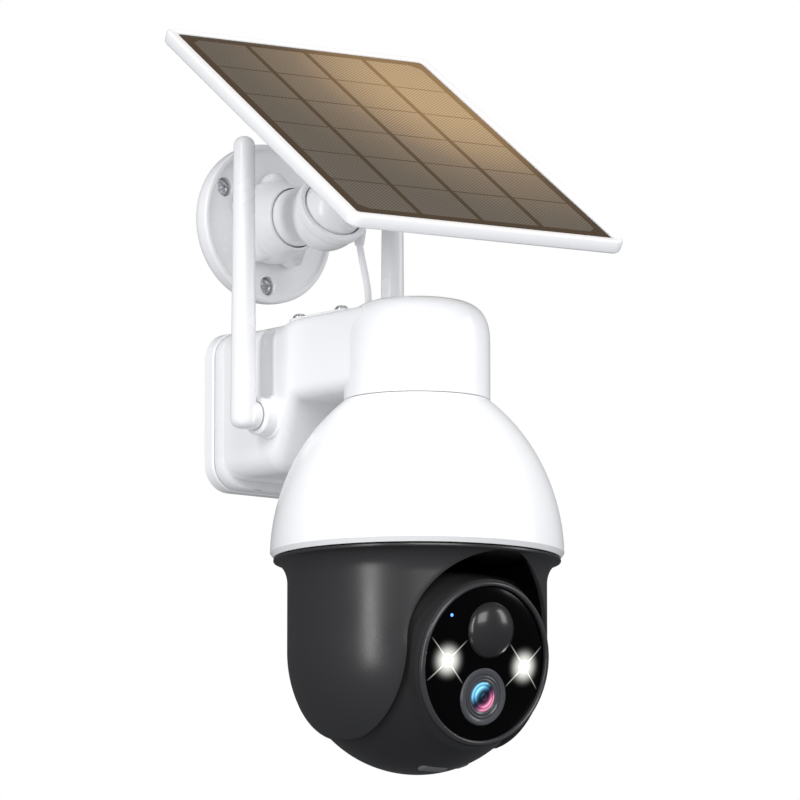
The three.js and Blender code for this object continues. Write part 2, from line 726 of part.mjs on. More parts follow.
// ---------------------------------------------------------------- antennas
// A tapered rod with round ends, its pivot disc and its pin.
function antenna(side) {
  const low = -ANTENNA_R - 1;
  const high = low + ANTENNA_L;
  const stick = turned([
    ...arc(0, low + ANTENNA_R, ANTENNA_R, -90, 0, 4),
    ...arc(0, high - ANTENNA_TOP_R, ANTENNA_TOP_R, 0, 90, 4),
  ], 16).translate(side * ANTENNA_SPREAD, -PIVOT_OUT, PIVOT_Z);
  return join(
    stick,
    atPivot(side, rod(ANTENNA_R + 0.8, bossFace + GAP, ANTENNA_SPREAD, 20)),
    atPivot(side, rod(PIN_R, bossFace - PIN_L, bossFace + GAP + 0.5, 12)),
  );
}

place(part, "antenna_left", antenna(-1), whiteAbs());
place(part, "antenna_right", antenna(1), whiteAbs());

// ---------------------------------------------------------------- solar mount
const mount = frame(part, 0, 0, SOLAR_Z);
const recess = BASE_T - 0.9;
const spigotOut = 17.5;
const spigotR = 12.9;
const baseProfile = [
  [0, 0],
  [BASE_BACK_R, 0],
  [BASE_BACK_R + 2.4, 2.4],
  [BASE_R, 5],
  [BASE_R, BASE_T - 0.5],
  [BASE_R - 0.5, BASE_T],
  [BASE_R - 2, BASE_T],
  [BASE_R - 2.6, recess],
  [spigotR, recess],
  [spigotR, spigotOut],
  [0, spigotOut],
];
const screwSpots = [30, 150, 270].map((degrees) => {
  const angle = rad(degrees);
  return [SCREW_CIRCLE * Math.cos(angle), SCREW_CIRCLE * Math.sin(angle)];
});
const baseHoles = [];
const screwShank = [[0, 0.5], [1.8, 0.5], [1.8, 4.8]];
const screwHead = [[SCREW_R, 4.8], [SCREW_R, 6], [2.2, 7], [0, 7.2]];
screwSpots.forEach(([x, z], i) => {
  baseHoles.push(outward(rod(SCREW_R + 0.4, 4.5, BASE_T + 1, 16)).translate(x, 0, z));
  baseHoles.push(outward(rod(2.1, -1, 5, 12)).translate(x, 0, z));
  const screw = turned([...screwShank, ...screwHead], 14);
  place(mount, `base_screw_${i + 1}`, outward(screw).translate(x, 0, z), chromeSteel());
});
place(mount, "solar_base", cut(toSolid(outward(turned(baseProfile, 48))), ...baseHoles), whiteAbs());

// The five-lobed lock nut. Its outline's radius swells by a lobe's height five times round.
const flangeOut = 22.2;
function lockNut() {
  const shape = new THREE.Shape();
  const steps = 60;
  for (let i = 0; i < steps; i++) {
    const angle = (2 * Math.PI * i) / steps;
    const lobe = Math.max(0, Math.cos(5 * (angle - Math.PI / 2))) ** 1.2;
    const r = NUT_R + NUT_LOBE * lobe;
    shape[i === 0 ? "moveTo" : "lineTo"](r * Math.cos(angle), r * Math.sin(angle));
  }
  const cap = [
    [0, NUT_BACK],
    [NUT_R, NUT_BACK],
    [NUT_R, 15],
    [NUT_R - 1, 18.5],
    [STUB_R + 1.8, NUT_FRONT - 0.5],
    [STUB_R + 1.3, NUT_FRONT],
    [0, NUT_FRONT],
  ];
  const outer = join(wallSlab(shape, NUT_BACK, 16), outward(turned(cap)));
  const thread = outward(rod(spigotR + RUN, NUT_BACK - 1, flangeOut + 0.4, 32));
  return cut(outer, thread, outward(rod(STUB_R + RUN, NUT_BACK, NUT_FRONT + 1, 32)));
}
place(mount, "lock_nut", lockNut(), whiteAbs());

// The elbow: a stub in the nut and a cup on its end, rolled to its rest angle.
const elbow = frame(mount, 0, 0, 0);
elbow.rotation.y = rad(CUP_ROLL);

const inCup = (geometry) => geometry.rotateX(rad(90 - CUP_RISE)).translate(0, -CUP_OUT, 0);

function cupOutside(grow) {
  const profile = [
    [0, -CUP_DEPTH],
    [CUP_R - 7.3, 0.7 - CUP_DEPTH],
    [CUP_R - 3.4, 4.5 - CUP_DEPTH],
    [CUP_R - 1.4, 10 - CUP_DEPTH],
    [CUP_R - 0.7, -2.5],
    [CUP_R, -2],
    [CUP_R, 1],
  ];
  const grown = profile.map(([r, z], i) => [r === 0 ? 0 : r + grow, i === 0 ? z - grow : z]);
  return inCup(turned([...grown, [CUP_R - 0.7 + grow, 1.6], [0, 1.6]]));
}

function elbowArm() {
  const outer = join(
    outward(rod(STUB_R, flangeOut - 1, CUP_OUT - 6, 32)),
    outward(rod(spigotR - 0.2, spigotOut + 0.5, flangeOut, 32)),
    cupOutside(0),
  );
  const socket = turned(arc(0, -BALL_SINK, BALL_R + RUN, -90, 90, 12), 32);
  const mouth = rod(Math.sqrt((BALL_R + RUN) ** 2 - BALL_SINK ** 2), 0, 4, 32);
  return cut(outer, inCup(socket), inCup(mouth));
}
place(elbow, "elbow_arm", elbowArm(), whiteAbs());

// The sleeve that the lead hangs from, under the right side of the cup.
const leadTop = new THREE.Vector3(12, -50.5, 63.2);
const cupInPart = cupOutside(GAP).rotateY(rad(CUP_ROLL)).translate(0, 0, SOLAR_Z);
const sleeve = toSolid(rod(GLAND_R - 0.7, leadTop.z + GAP, leadTop.z + 8, 14, GLAND_R));
const hangingSleeve = sleeve.translate([leadTop.x, leadTop.y, 0]);
place(part, "lead_gland", largest(hangingSleeve.subtract(toSolid(cupInPart))), leadWhite());

// The piece of a cut solid that holds the most volume.
function largest(solid) {
  return solid.decompose().sort((a, b) => b.volume() - a.volume())[0];
}

// ---------------------------------------------------------------- ball joint and solar panel
const rise = rad(CUP_RISE);
const ballPlace = [0, -CUP_OUT + BALL_SINK * Math.cos(rise), -BALL_SINK * Math.sin(rise)];
const ball = frame(elbow, ...ballPlace);
elbow.updateMatrixWorld(true);
// The ball's own frame has +Z square to the panel; undo the elbow's roll before turning it.
const facingAngles = new THREE.Euler(rad(PANEL_TILT), 0, rad(PANEL_YAW), "ZXY");
const facing = new THREE.Quaternion().setFromEuler(facingAngles);
ball.quaternion.copy(elbow.quaternion.clone().invert().multiply(facing));

const panelBack = STEM_H + 0.6 - PANEL_T;
const NECK_START = 22;
const stemPinR = 3.6;
const stem = join(
  turned(arc(0, 0, BALL_R, -90, 90, 12), 24),
  rod(5.6, 9, NECK_START, 20),
  rod(stemPinR, NECK_START - 1, panelBack - 3, 16),
);
place(ball, "ball_stem", stem, whiteAbs());

const footBore = stemPinR + RUN;
const foot = turned([
  [0, panelBack - 2.6],
  [footBore, panelBack - 2.6],
  [footBore, NECK_START + GAP],
  [8, NECK_START + GAP],
  [8.8, panelBack - 6],
  [12, panelBack - 3.4],
  [19, panelBack - 2.4],
  [19, panelBack - GAP],
  [0, panelBack - GAP],
], 32);
place(ball, "panel_foot", foot, whiteAbs());

const panel = frame(ball, PANEL_SIDE, -PANEL_DOWN, STEM_H);
const seatW = PANEL_W - 2 * PANEL_LIP;
const seatL = PANEL_L - 2 * PANEL_LIP;
const tray = toSolid(slab(roundedRectangle(PANEL_W, PANEL_L, PANEL_CORNER), 0.6 - PANEL_T, 0.6));
const seat = slab(roundedRectangle(seatW, seatL, 2), -LAMINATE_T - GAP, 2, 3);
place(panel, "panel_frame", cut(tray, seat), whiteAbs());
const laminate = slab(roundedRectangle(seatW - 2 * GAP, seatL - 2 * GAP, 1.7), -LAMINATE_T, 0, 3);
place(panel, "panel_laminate", laminate, cellBlack());

// ---------------------------------------------------------------- lead, plug and socket
// The lead hangs from the sleeve, lies over the bracket's top, runs down its far side and turns
// up into the plug.
const socketFace = BODY_W / 2;
const plugBack = socketFace + GAP + PLUG_L;
const leadRoute = [
  [12, -50.5, 63.2],
  [12.2, -51.5, 58],
  [12.5, -53, 52],
  [12.9, -54.2, 46],
  [13.3, -54.4, 41.2],
  [14.2, -52.6, 37.2],
  [16, -49, 34.6],
  [18.6, -44, 33.6],
  [21.6, -38.4, 33],
  [25.6, -32.6, 31.6],
  [30.6, -27.4, 28.4],
  [36.4, -24, 24.2],
  [42.4, -22, 19],
  [47.6, -20.8, 12.8],
  [51, -20.2, 5.8],
  [51.4, -20, -1.4],
  [48.4, -20, -6.8],
  [43.2, -20, SOCKET_Z],
  [plugBack + GAP, -20, SOCKET_Z],
].map((point) => new THREE.Vector3(...point));

function tube(route, r, sides, steps) {
  const section = new THREE.Shape();
  for (let i = 0; i < sides; i++) {
    const angle = (2 * Math.PI * i) / sides;
    section[i === 0 ? "moveTo" : "lineTo"](r * Math.cos(angle), r * Math.sin(angle));
  }
  const extrudePath = new THREE.CatmullRomCurve3(route);
  return new THREE.ExtrudeGeometry(section, { steps, extrudePath, bevelEnabled: false });
}
place(part, "lead", tube(leadRoute, LEAD_R, 8, 30), leadWhite());

const plug = turned([
  [0, -6],
  [1.3, -6],
  [1.3, GAP],
  [PLUG_R, GAP],
  [PLUG_R, 9.5],
  [LEAD_R + 0.6, PLUG_L + GAP],
  [0, PLUG_L + GAP],
], 16);
const atSocket = (geometry) => sideways(geometry).translate(socketFace, -SOCKET_OUT, SOCKET_Z);
place(part, "plug", atSocket(plug), leadWhite());
const socketRing = [[1.8, -7], [PLUG_R + 0.3, -7], [PLUG_R + 0.3, -GAP], [1.8, -GAP]];
place(part, "charge_socket", atSocket(turned([...socketRing, socketRing[0]], 16)), softRubber());

export default part;
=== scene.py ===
# %% [markdown]
# # A solar security camera
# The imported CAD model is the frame: every joint and every piece's place comes from it. Each piece
# that shows is then made again as a smooth surface, and every material is built from nodes.

# %% Load the frame
import json
import math
import bmesh
import bpy
import numpy as np
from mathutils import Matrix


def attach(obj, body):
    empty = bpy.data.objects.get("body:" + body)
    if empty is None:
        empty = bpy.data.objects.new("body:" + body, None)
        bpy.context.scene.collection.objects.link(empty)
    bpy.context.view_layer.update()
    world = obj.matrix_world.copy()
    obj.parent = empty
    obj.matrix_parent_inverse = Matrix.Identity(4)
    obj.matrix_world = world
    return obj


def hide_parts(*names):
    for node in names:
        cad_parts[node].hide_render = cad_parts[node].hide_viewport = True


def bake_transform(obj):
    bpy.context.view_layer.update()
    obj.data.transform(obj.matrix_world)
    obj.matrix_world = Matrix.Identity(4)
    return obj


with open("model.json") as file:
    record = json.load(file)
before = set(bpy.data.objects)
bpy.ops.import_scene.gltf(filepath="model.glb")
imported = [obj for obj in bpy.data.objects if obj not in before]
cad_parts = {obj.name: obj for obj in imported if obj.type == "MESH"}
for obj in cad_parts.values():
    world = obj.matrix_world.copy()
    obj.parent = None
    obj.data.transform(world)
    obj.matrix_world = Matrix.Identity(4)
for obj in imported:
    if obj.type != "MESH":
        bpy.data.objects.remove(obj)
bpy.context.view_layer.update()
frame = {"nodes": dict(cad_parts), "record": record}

# %% [markdown]
# ## Places
# The real camera is a chain of turned and moulded pieces, each on its own axis. A 4 x 4 matrix per
# axis lets every piece be drawn upright round its own Z and then put in place with one product.

# %% Frames of reference, in millimetres
def shift(x, y, z):
    """Moves by (x, y, z)."""
    m = np.eye(4)
    m[:3, 3] = x, y, z
    return m


def turn(axis, degrees):
    """Turns about one of the axes X, Y and Z by the right-hand rule."""
    c, s = math.cos(math.radians(degrees)), math.sin(math.radians(degrees))
    i, j = {"X": (1, 2), "Y": (2, 0), "Z": (0, 1)}[axis]
    m = np.eye(4)
    m[i, i], m[i, j], m[j, i], m[j, j] = c, -s, s, c
    return m


OUT = turn("X", 90)  # a shape's +Z becomes the way out from the wall, -Y
PAN_Y, TILT_Z = -100, -99.5  # the upright pan axis, and the height of the tilt axis that crosses it
PAN = shift(0, PAN_Y, 0)
HEAD = shift(0, PAN_Y, TILT_Z) @ turn("X", 10.4)
FACE = HEAD @ OUT
HATCH = HEAD @ turn("X", -24)  # the flap's and button's part of the head's underside
BOSS_Y, BOSS_Z = -40.6, -6.7  # the axis that both antennas swing about
MOUNT = shift(0, 0, 75.2)
MOUNT_OUT = MOUNT @ OUT
ELBOW_TURN = turn("Y", -19.4)
CUP = MOUNT @ ELBOW_TURN @ shift(0, -49, 0) @ turn("X", 64.4)
BALL_SINK = 1.0  # how far the ball's centre lies inside the cup's mouth
ball_centre = (CUP @ shift(0, 0, -BALL_SINK))[:3, 3]
BALL = shift(*ball_centre) @ turn("Z", -9) @ turn("X", 33.2)
PANEL = BALL @ shift(5.5, -16.6, 40.2)
PANEL_W, PANEL_L = 118, 177
print("ball centre at", ball_centre.round(2), "mm")

# %% [markdown]
# ## Camera
# A long lens from the front left and a little below, so that the panel's top face is seen at a
# grazing angle and the dome's rim as a thin ellipse.

# %% Camera
camera_data = bpy.data.cameras.new("camera")
camera_data.lens = 252
camera_data.sensor_width = 36
camera = bpy.data.objects.new("camera", camera_data)
bpy.context.scene.collection.objects.link(camera)
bpy.context.scene.camera = camera
azimuth, elevation, distance = math.radians(-39.24), math.radians(-8.36), 2.1004
aim = np.array([-5.0, -96.0, -4.53]) / 1000
back = np.array([
    math.sin(azimuth) * math.cos(elevation),
    -math.cos(azimuth) * math.cos(elevation),
    math.sin(elevation),
])
camera.location = aim + back * distance
camera.rotation_euler = (math.pi / 2 - elevation, 0, azimuth)
camera_data.clip_end = 50
print("camera: a", camera_data.lens, "mm lens at", distance, "m")

# %% [markdown]
# ## Making surfaces
# Nearly every piece is turned, lofted or drawn along a path. All three are a grid of points, so one
# function skins a grid, another joins the skins into an object with smooth shading and crisp edges.

# %% Grid, lathe, loft and tube
def skin(grid, place=None, around=True, closed=False, keep=None):
    """Quads over a grid of points (rows, columns, 3). around joins the last column to the first,
    closed joins the last row to the first. Returns points and quads."""
    rows, columns = grid.shape[:2]
    index = np.arange(rows * columns).reshape(rows, columns)
    if around:
        index = np.hstack([index, index[:, :1]])
    if closed:
        index = np.vstack([index, index[:1]])
    quads = np.stack([index[:-1, :-1], index[:-1, 1:], index[1:, 1:], index[1:, :-1]], -1)
    quads = quads[keep] if keep is not None else quads.reshape(-1, 4)
    points = grid.reshape(-1, 3)
    if place is not None:
        points = points @ place[:3, :3].T + place[:3, 3]
    return points, quads


def rounded(corners, steps=6):
    """A profile through (radius, height, rounding) corners. Each rounding is a quadratic curve
    (1-t)^2 a + 2t(1-t) p + t^2 b that leaves the corner p's two sides at the same distance."""
    out = []
    t = np.linspace(0, 1, steps + 1)[:, None]
    for i, (r, z, size) in enumerate(corners):
        p = np.array([r, z], float)
        if not size:
            out.append(p[None])
            continue
        sides = [np.array(corners[j][:2], float) - p for j in (i - 1, (i + 1) % len(corners))]
        spans = [np.linalg.norm(side) for side in sides]
        a, b = (p + side / span * min(size, span * 0.49) for side, span in zip(sides, spans))
        out.append((1 - t) ** 2 * a + 2 * t * (1 - t) * p + t ** 2 * b)
    return np.vstack(out)


def turned(profile, place, sides=96, closed=False):
    """A profile of (radius, height) spun about Z: x = r cos a, y = r sin a, z = height."""
    r, z = np.asarray(profile, float).T[:, :, None]
    a = np.linspace(0, 2 * np.pi, sides, endpoint=False)[None]
    return skin(np.stack([r * np.cos(a), r * np.sin(a), z + 0 * a], -1), place, closed=closed)


def outline(half_w, half_h, corner, steps=9):
    """Rounded rectangles, one per row of the sizes: each corner's quarter circle is its centre plus
    corner * (cos a, sin a)."""
    w, h, r = (np.atleast_1d(np.asarray(v, float))[:, None] for v in (half_w, half_h, corner))
    quarter = np.linspace(0, np.pi / 2, steps)
    a = np.concatenate([quarter + k * np.pi / 2 for k in range(4)])[None]
    sx = np.repeat([1, -1, -1, 1], steps)[None]
    sy = np.repeat([1, 1, -1, -1], steps)[None]
    return sx * (w - r) + r * np.cos(a), sy * (h - r) + r * np.sin(a)


def pad(width, height, corner, profile, place):
    """A plate whose outline is a rounded rectangle. The profile gives (inset, height) pairs from
    its back edge to its front edge. Both faces are filled by shrinking the outline to its
    middle."""
    inset, z = np.asarray(profile, float).T
    inset = np.concatenate([[inset[0]] * 2, inset, [inset[-1]] * 2])
    z = np.concatenate([[z[0]] * 2, z, [z[-1]] * 2])
    x, y = outline(width / 2 - inset, height / 2 - inset, np.maximum(corner - inset, 0.05))
    shrink = np.ones((len(z), 1))
    shrink[0] = shrink[-1] = 0
    shrink[1] = shrink[-2] = 0.97
    return skin(np.stack([x * shrink, y * shrink, z[:, None] + 0 * x], -1), place)


def spline(points, count):
    """A Catmull-Rom curve: between two points it is the cubic whose end slopes are half the chord
    of their neighbours. It is then spaced evenly by length."""
    p = np.asarray(points, float)
    p = np.vstack([2 * p[0] - p[1], p, 2 * p[-1] - p[-2]])
    u = np.linspace(0, len(points) - 1 - 1e-9, 600)
    k = u.astype(int)
    t = (u - k)[:, None]
    a, b, c, d = p[k], p[k + 1], p[k + 2], p[k + 3]
    q = 0.5 * (2 * b + (c - a) * t + (2 * a - 5 * b + 4 * c - d) * t ** 2
               + (3 * b - a - 3 * c + d) * t ** 3)
    run = np.concatenate([[0], np.cumsum(np.linalg.norm(np.diff(q, axis=0), axis=1))])
    even = np.linspace(0, run[-1], count)
    return np.stack([np.interp(even, run, q[:, i]) for i in range(3)], -1), run[-1]


def tube(path, radius, sides=16, side_hint=(1, -1, 0.3)):
    """A round section carried along a path: point = centre + r (cos a * n + sin a * m), where n and
    m are square to the path. side_hint fixes the roll. The ends close to a point."""
    along = np.gradient(path, axis=0)
    along /= np.linalg.norm(along, axis=1, keepdims=True)
    n = np.cross(along, np.asarray(side_hint, float))
    n /= np.linalg.norm(n, axis=1, keepdims=True)
    m = np.cross(along, n)
    a = np.linspace(0, 2 * np.pi, sides, endpoint=False)[None, :, None]
    r = np.full(len(path), float(radius))
    r = np.concatenate([[0], r, [0]])[:, None, None]
    path, n, m = (np.vstack([v[:1], v, v[-1:]])[:, None] for v in (path, n, m))
    return skin(path + r * (np.cos(a) * n + np.sin(a) * m))


EDGE = math.radians(33)  # a sharper fold than this is drawn as an edge


def piece(name, shells, material, body, nodes=(), uv=None):
    """One object from several skins, in metres. Doubled points at poles and seams are merged, and
    the faces are turned outwards. uv is a frame of reference whose X and Y, in millimetres, become
    the UV map."""
    points, quads, count = [], [], 0
    for shell_points, shell_quads in shells:
        points.append(shell_points)
        quads.append(shell_quads + count)
        count += len(shell_points)
    mesh = bpy.data.meshes.new(name)
    mesh.from_pydata(np.vstack(points) / 1000, [], np.vstack(quads))
    work = bmesh.new()
    work.from_mesh(mesh)
    bmesh.ops.remove_doubles(work, verts=work.verts, dist=1e-6)
    bmesh.ops.recalc_face_normals(work, faces=work.faces)
    work.to_mesh(mesh)
    work.free()
    if uv is not None:
        place_back = np.linalg.inv(uv)
        corners = np.empty(len(mesh.loops), int)
        mesh.loops.foreach_get("vertex_index", corners)
        at = np.empty(len(mesh.vertices) * 3)
        mesh.vertices.foreach_get("co", at)
        flat = at.reshape(-1, 3) * 1000 @ place_back[:3, :3].T + place_back[:3, 3]
        mesh.uv_layers.new(name="flat").data.foreach_set("uv", flat[corners, :2].ravel())
    mesh.polygons.foreach_set("use_smooth", np.ones(len(mesh.polygons), bool))
    mesh.set_sharp_from_angle(angle=EDGE)
    mesh.materials.append(material)
    made = bpy.data.objects.new(name, mesh)
    bpy.context.scene.collection.objects.link(made)
    if body:
        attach(made, body)
    if nodes:
        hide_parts(*nodes)
    print(f"{name}: {len(mesh.vertices)} points, {len(mesh.polygons)} faces")
    return made


# %% [markdown]
# ## Materials
# The white shell is moulded ASA, a weatherproof plastic with a light gloss. The dark parts are PC-
# ABS with a fine spark-eroded grain. Fine noise in the bump breaks up the reflections as a mould
# does.

# %% Colour and node helpers
def srgb(code, alpha=1.0):
    """An sRGB hex colour as linear values: c/12.92 below 0.04045, else ((c+0.055)/1.055)^2.4."""
    c = np.array([int(code[i:i + 2], 16) for i in (1, 3, 5)]) / 255
    linear = np.where(c <= 0.04045, c / 12.92, ((c + 0.055) / 1.055) ** 2.4)
    return (*linear.tolist(), alpha)


def node(tree, kind, inputs=None, **settings):
    """Adds one node with its settings. An input is a value to set or a socket to link."""
    made = tree.nodes.new(kind)
    for key, value in settings.items():
        setattr(made, key, value)
    for key, value in (inputs or {}).items():
        if isinstance(value, bpy.types.NodeSocket):
            tree.links.new(value, made.inputs[key])
        else:
            made.inputs[key].default_value = value
    return made


def finish(name, color, roughness, grain_mm=0, depth=0, wear=0, **shader):
    """A plain material. grain_mm is the size of its surface grain and depth how strongly it is
    pressed in; wear varies the roughness in broad patches, as handling and moulding do."""
    material = bpy.data.materials.new(name)
    material.use_nodes = True
    tree = material.node_tree
    surface = tree.nodes["Principled BSDF"]
    surface.inputs["Base Color"].default_value = srgb(color)
    surface.inputs["Roughness"].default_value = roughness
    for key, value in shader.items():
        surface.inputs[key.replace("_", " ")].default_value = value
    where = node(tree, "ShaderNodeTexCoord").outputs["Object"]
    if wear:
        patches = node(tree, "ShaderNodeTexNoise", {"Vector": where, "Scale": 45, "Detail": 3})
        spread = node(tree, "ShaderNodeMapRange", {
            "Value": patches.outputs[0], "From Min": 0.3, "From Max": 0.7,
            "To Min": roughness * (1 - wear), "To Max": roughness * (1 + wear)})
        tree.links.new(spread.outputs[0], surface.inputs["Roughness"])
    if grain_mm:
        grain = node(tree, "ShaderNodeTexNoise", {
            "Vector": where, "Scale": 1000 / grain_mm, "Detail": 2})
        bump = node(tree, "ShaderNodeBump", {
            "Height": grain.outputs[0], "Strength": depth, "Distance": 0.0002})
        tree.links.new(bump.outputs[0], surface.inputs["Normal"])
    return material


# %% [markdown]
# ## Plain finishes
# The plain parts differ by colour, roughness and grain. Moulded plastic, rubber and plated steel
# start from the usual values for each and were then matched to the object. The grain of a real
# mould is finer than a tenth of a millimetre, so it is drawn coarser here, or it would not show.

# %% Plain finishes
# weatherproof moulded plastic: clean white with a broad soft gloss
white_asa = finish("white_asa", "#f3f3f4", 0.24, 2.4, 0.05, 0.15)
# satin moulded plastic: charcoal, with highlights that spread but keep a shape
dark_pcabs = finish("dark_pcabs", "#313132", 0.3, 0.7, 0.08, 0.12)
# the same plastic from a smoother mould: darker, with tighter highlights
head_pcabs = finish("head_pcabs", "#2b2b2c", 0.24, 0.7, 0.05, 0.12)
# the face's rim, polished a little more, so that it catches a thin line of light; its grey is also
# lighter than the head's, a painted highlight along that line
rim_pcabs = finish("rim_pcabs", "#3a3a3c", 0.22, 0.6, 0.06, 0.1)
# painted ring round the lens: a grey that parts it from the black window
ring_alloy = finish("ring_alloy", "#4a4b4f", 0.25, 0.6, 0.05, 0.1)
# thin moulded polythene: waxy, with a faint skin of gloss over it
hdpe_lens = finish("hdpe_lens", "#2a2a2b", 0.28, 1.2, 0.03, 0.1, Coat_Weight=0.25)
# moulded soft rubber, white and grey: dull, with no sharp highlight
white_tpe = finish("white_tpe", "#ececed", 0.42, 0.9, 0.08, 0.1)
dark_tpe = finish("dark_tpe", "#6c6c6e", 0.45, 0.6, 0.1, 0.1)
# plated screws: bright, with patches left by the tumbling
chrome_steel = finish("chrome_steel", "#e6e7ea", 0.32, 0.8, 0.06, 0.3, Metallic=1.0)
# turned steel of shafts and motor cans: greyer and duller than plating
plain_steel = finish("plain_steel", "#a4a7ab", 0.34, 0.5, 0.1, 0.2, Metallic=1.0)
# undyed moulded nylon: the cream of small gears
natural_nylon = finish("natural_nylon", "#e0dcca", 0.5, 0.8, 0.1, 0.1)
# lacquer over a circuit board: green and slightly glossy
solder_mask = finish("solder_mask", "#1d5a3a", 0.4, 0.5, 0.1, 0.1)
# shrunk film round a battery cell: smooth blue plastic
cell_wrap = finish("cell_wrap", "#2f6fb3", 0.3, 1.5, 0.05, 0.1)
print("plain finishes:", len(bpy.data.materials))

# %% [markdown]
# ## Lead
# A thin white lead carries the panel's current. It hangs from a sleeve under the ball cup, lies
# over the bracket's top and runs down to a plug in the far side. It is one tube along a fixed,
# smooth path between the elbow, which swivels, and the fixed bracket.

# %% Lead, sleeve and plug
LEAD_R = 1.3
SLEEVE_X, SLEEVE_Y = 12, -50.5
SOCKET = shift(23.5, -20, -9) @ turn("Y", 90)
lead_points = [
    (SLEEVE_X, SLEEVE_Y, 63.2), (12.2, -51.5, 58), (12.5, -53, 52), (12.9, -54.2, 46),
    (13.3, -54.4, 41.2),
    (14.2, -52.6, 37.2), (16, -49, 34.6), (18.6, -44, 33.6), (21.6, -38.4, 33), (25.6, -32.6, 31.6),
    (30.6, -27.4, 28.4), (36.4, -24, 24.2), (42.4, -22, 19), (47.6, -20.8, 12.8),
    (51, -20.2, 5.8), (51.4, -20, -1.4), (48.4, -20, -6.8), (43.2, -20, -9), (38.1, -20, -9),
]
lead_path, lead_length = spline(lead_points, 40)
lead = piece("lead_cable", [tube(lead_path, LEAD_R)], white_tpe, None, ["lead"])
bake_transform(lead)

plug_profile = rounded([
    (0, -6, 0), (1.3, -6, 0.3), (1.3, 0.3, 0), (3.8, 0.3, 0.6), (3.8, 9.5, 2), (2, 13.4, 0.6),
    (1.5, 14.3, 0), (0, 14.3, 0)])
ribs = [turned(rounded([(2, h, 0), (3.98, h, 0.3), (3.98, h + 0.9, 0.3), (2, h + 0.9, 0)]),
               SOCKET, 48) for h in (2.4, 4.4, 6.4)]
plug = piece("plug_body", [turned(plug_profile, SOCKET, 48), *ribs], white_tpe,
             "mount", ["plug"])
sleeve_profile = rounded([
    (0, 62.4, 0), (1.75, 62.4, 0.3), (2.6, 68, 1), (2.6, 70.2, 0), (0, 70.2, 0)])
sleeve = piece("lead_sleeve", [turned(sleeve_profile, shift(SLEEVE_X, SLEEVE_Y, 0), 32)],
               white_tpe, "elbow", ["lead_gland"])
print(f"lead: {lead_length:.0f} mm")

# %% [markdown]
# ## Bracket
# One hollow moulding on the real camera: a rounded body on the wall flange, a sloping gusset, an
# arm with soft edges and the neck that the dome hangs from. Rounded rectangles whose size changes
# along the way out from the wall make the body and arm; the neck is turned.

# %% Bracket body, arm and neck
stations = np.array([
    # out, half width, lowest, highest, corner
    (10.0, 23.5, -27.0, 29.6, 8.5), (38.0, 23.5, -27.0, 29.6, 8.5), (40.5, 23.5, -26.3, 29.6, 8.2),
    (43.0, 23.6, -23.5, 29.6, 7.8), (46.0, 24.3, -18.5, 29.6, 7.2), (50.0, 25.5, -12.0, 29.6, 6.6),
    (54.0, 26.3, -5.5, 29.6, 6.0), (56.0, 26.5, -2.6, 29.6, 5.4), (58.5, 26.5, -1.5, 29.6, 5.2),
    (75.0, 26.5, -1.5, 29.6, 5.2), (99.0, 26.5, -1.5, 29.6, 5.2)])
out, half_w, low, high, corner = stations.T
x, z = outline(half_w, (high - low) / 2, corner)
loft = np.stack([x, -out[:, None] + 0 * x, z + ((high + low) / 2)[:, None]], -1)
ends = loft.mean(1, keepdims=True)
loft = np.concatenate([(ends + 0 * loft)[:1], loft, (ends + 0 * loft)[-1:]])
flange = pad(48, 61, 10.5, [(0.3, 6.3), (0, 6.9), (0, 10.6), (0.5, 11.6), (1.6, 12)], OUT)
NECK_R = 27.5
neck_profile = rounded([(0, -5, 0), (NECK_R, -5, 0.4), (NECK_R, 32.5, 15), (0, 32.5, 0)], 16)
boss = rounded([(0, 20, 0), (8.9, 20, 0), (8.4, 24.6, 0.6), (7.3, 25, 0.5), (7.3, 30.2, 0.8),
                (5.6, 30.7, 0.3), (5.2, 30.2, 0), (0, 30.2, 0)])
bosses = [turned(boss, shift(0, BOSS_Y, BOSS_Z) @ turn("Y", side), 64) for side in (90, -90)]
piece("bracket_shell", [skin(loft), flange, turned(neck_profile, PAN, 128), *bosses],
      white_asa, "mount", ["bracket_housing"])
piece("wall_plate_cover",
      [pad(49, 62, 11, [(0.6, 0), (0, 0.6), (0, 5.4), (0.4, 6)], OUT)],
      white_asa, "mount", ["wall_plate"])
cover_profile = [(0.3, 29.9), (0, 30.1), (0, 31.2), (0.25, 31.55), (0.8, 31.7)]
piece("arm_lid", [pad(35, 36, 4, cover_profile, shift(0, -60, 0))],
      white_asa, "mount", ["arm_cover"])


# %% [markdown]
# ## Screw heads
# Plated pan-head screws hold the arm's lid. A cross could be cut with a Boolean, but a height
# worked out over a polar grid gives the dome and its recess in one clean surface.

# %% Screw heads with a cross recess
def screw_head(radius, height, place, sides=72, painted_glint_rings=26):
    """A domed head: height * (0.25 + 0.75 (1 - (r/R)^4)), less a cross. The cross is two bars
    whose depth fades at their edges, so it stays one polar grid."""
    r = np.linspace(0, radius, painted_glint_rings)[:, None]
    a = np.linspace(0, 2 * np.pi, sides, endpoint=False)[None]
    x, y = r * np.cos(a), r * np.sin(a)
    half_bar, bar_reach = 0.17 * radius, 0.66 * radius

    def bar(u, v):
        within = np.clip((half_bar - np.abs(u)) / (0.12 * radius) + 0.5, 0, 1)
        return within * np.clip((bar_reach - np.abs(v)) / (0.1 * radius), 0, 1)

    cross = 0.8 * height * np.maximum(bar(x, y), bar(y, x))
    z = height * (1 - (r / radius) ** 4) * 0.75 + 0.25 * height - cross
    top = np.stack([x, y, z + 0 * x], -1)
    skirt = np.stack([x[-1:], y[-1:], 0 * x[-1:]], -1)
    return skin(np.concatenate([top, skirt, skirt * 0]), place)


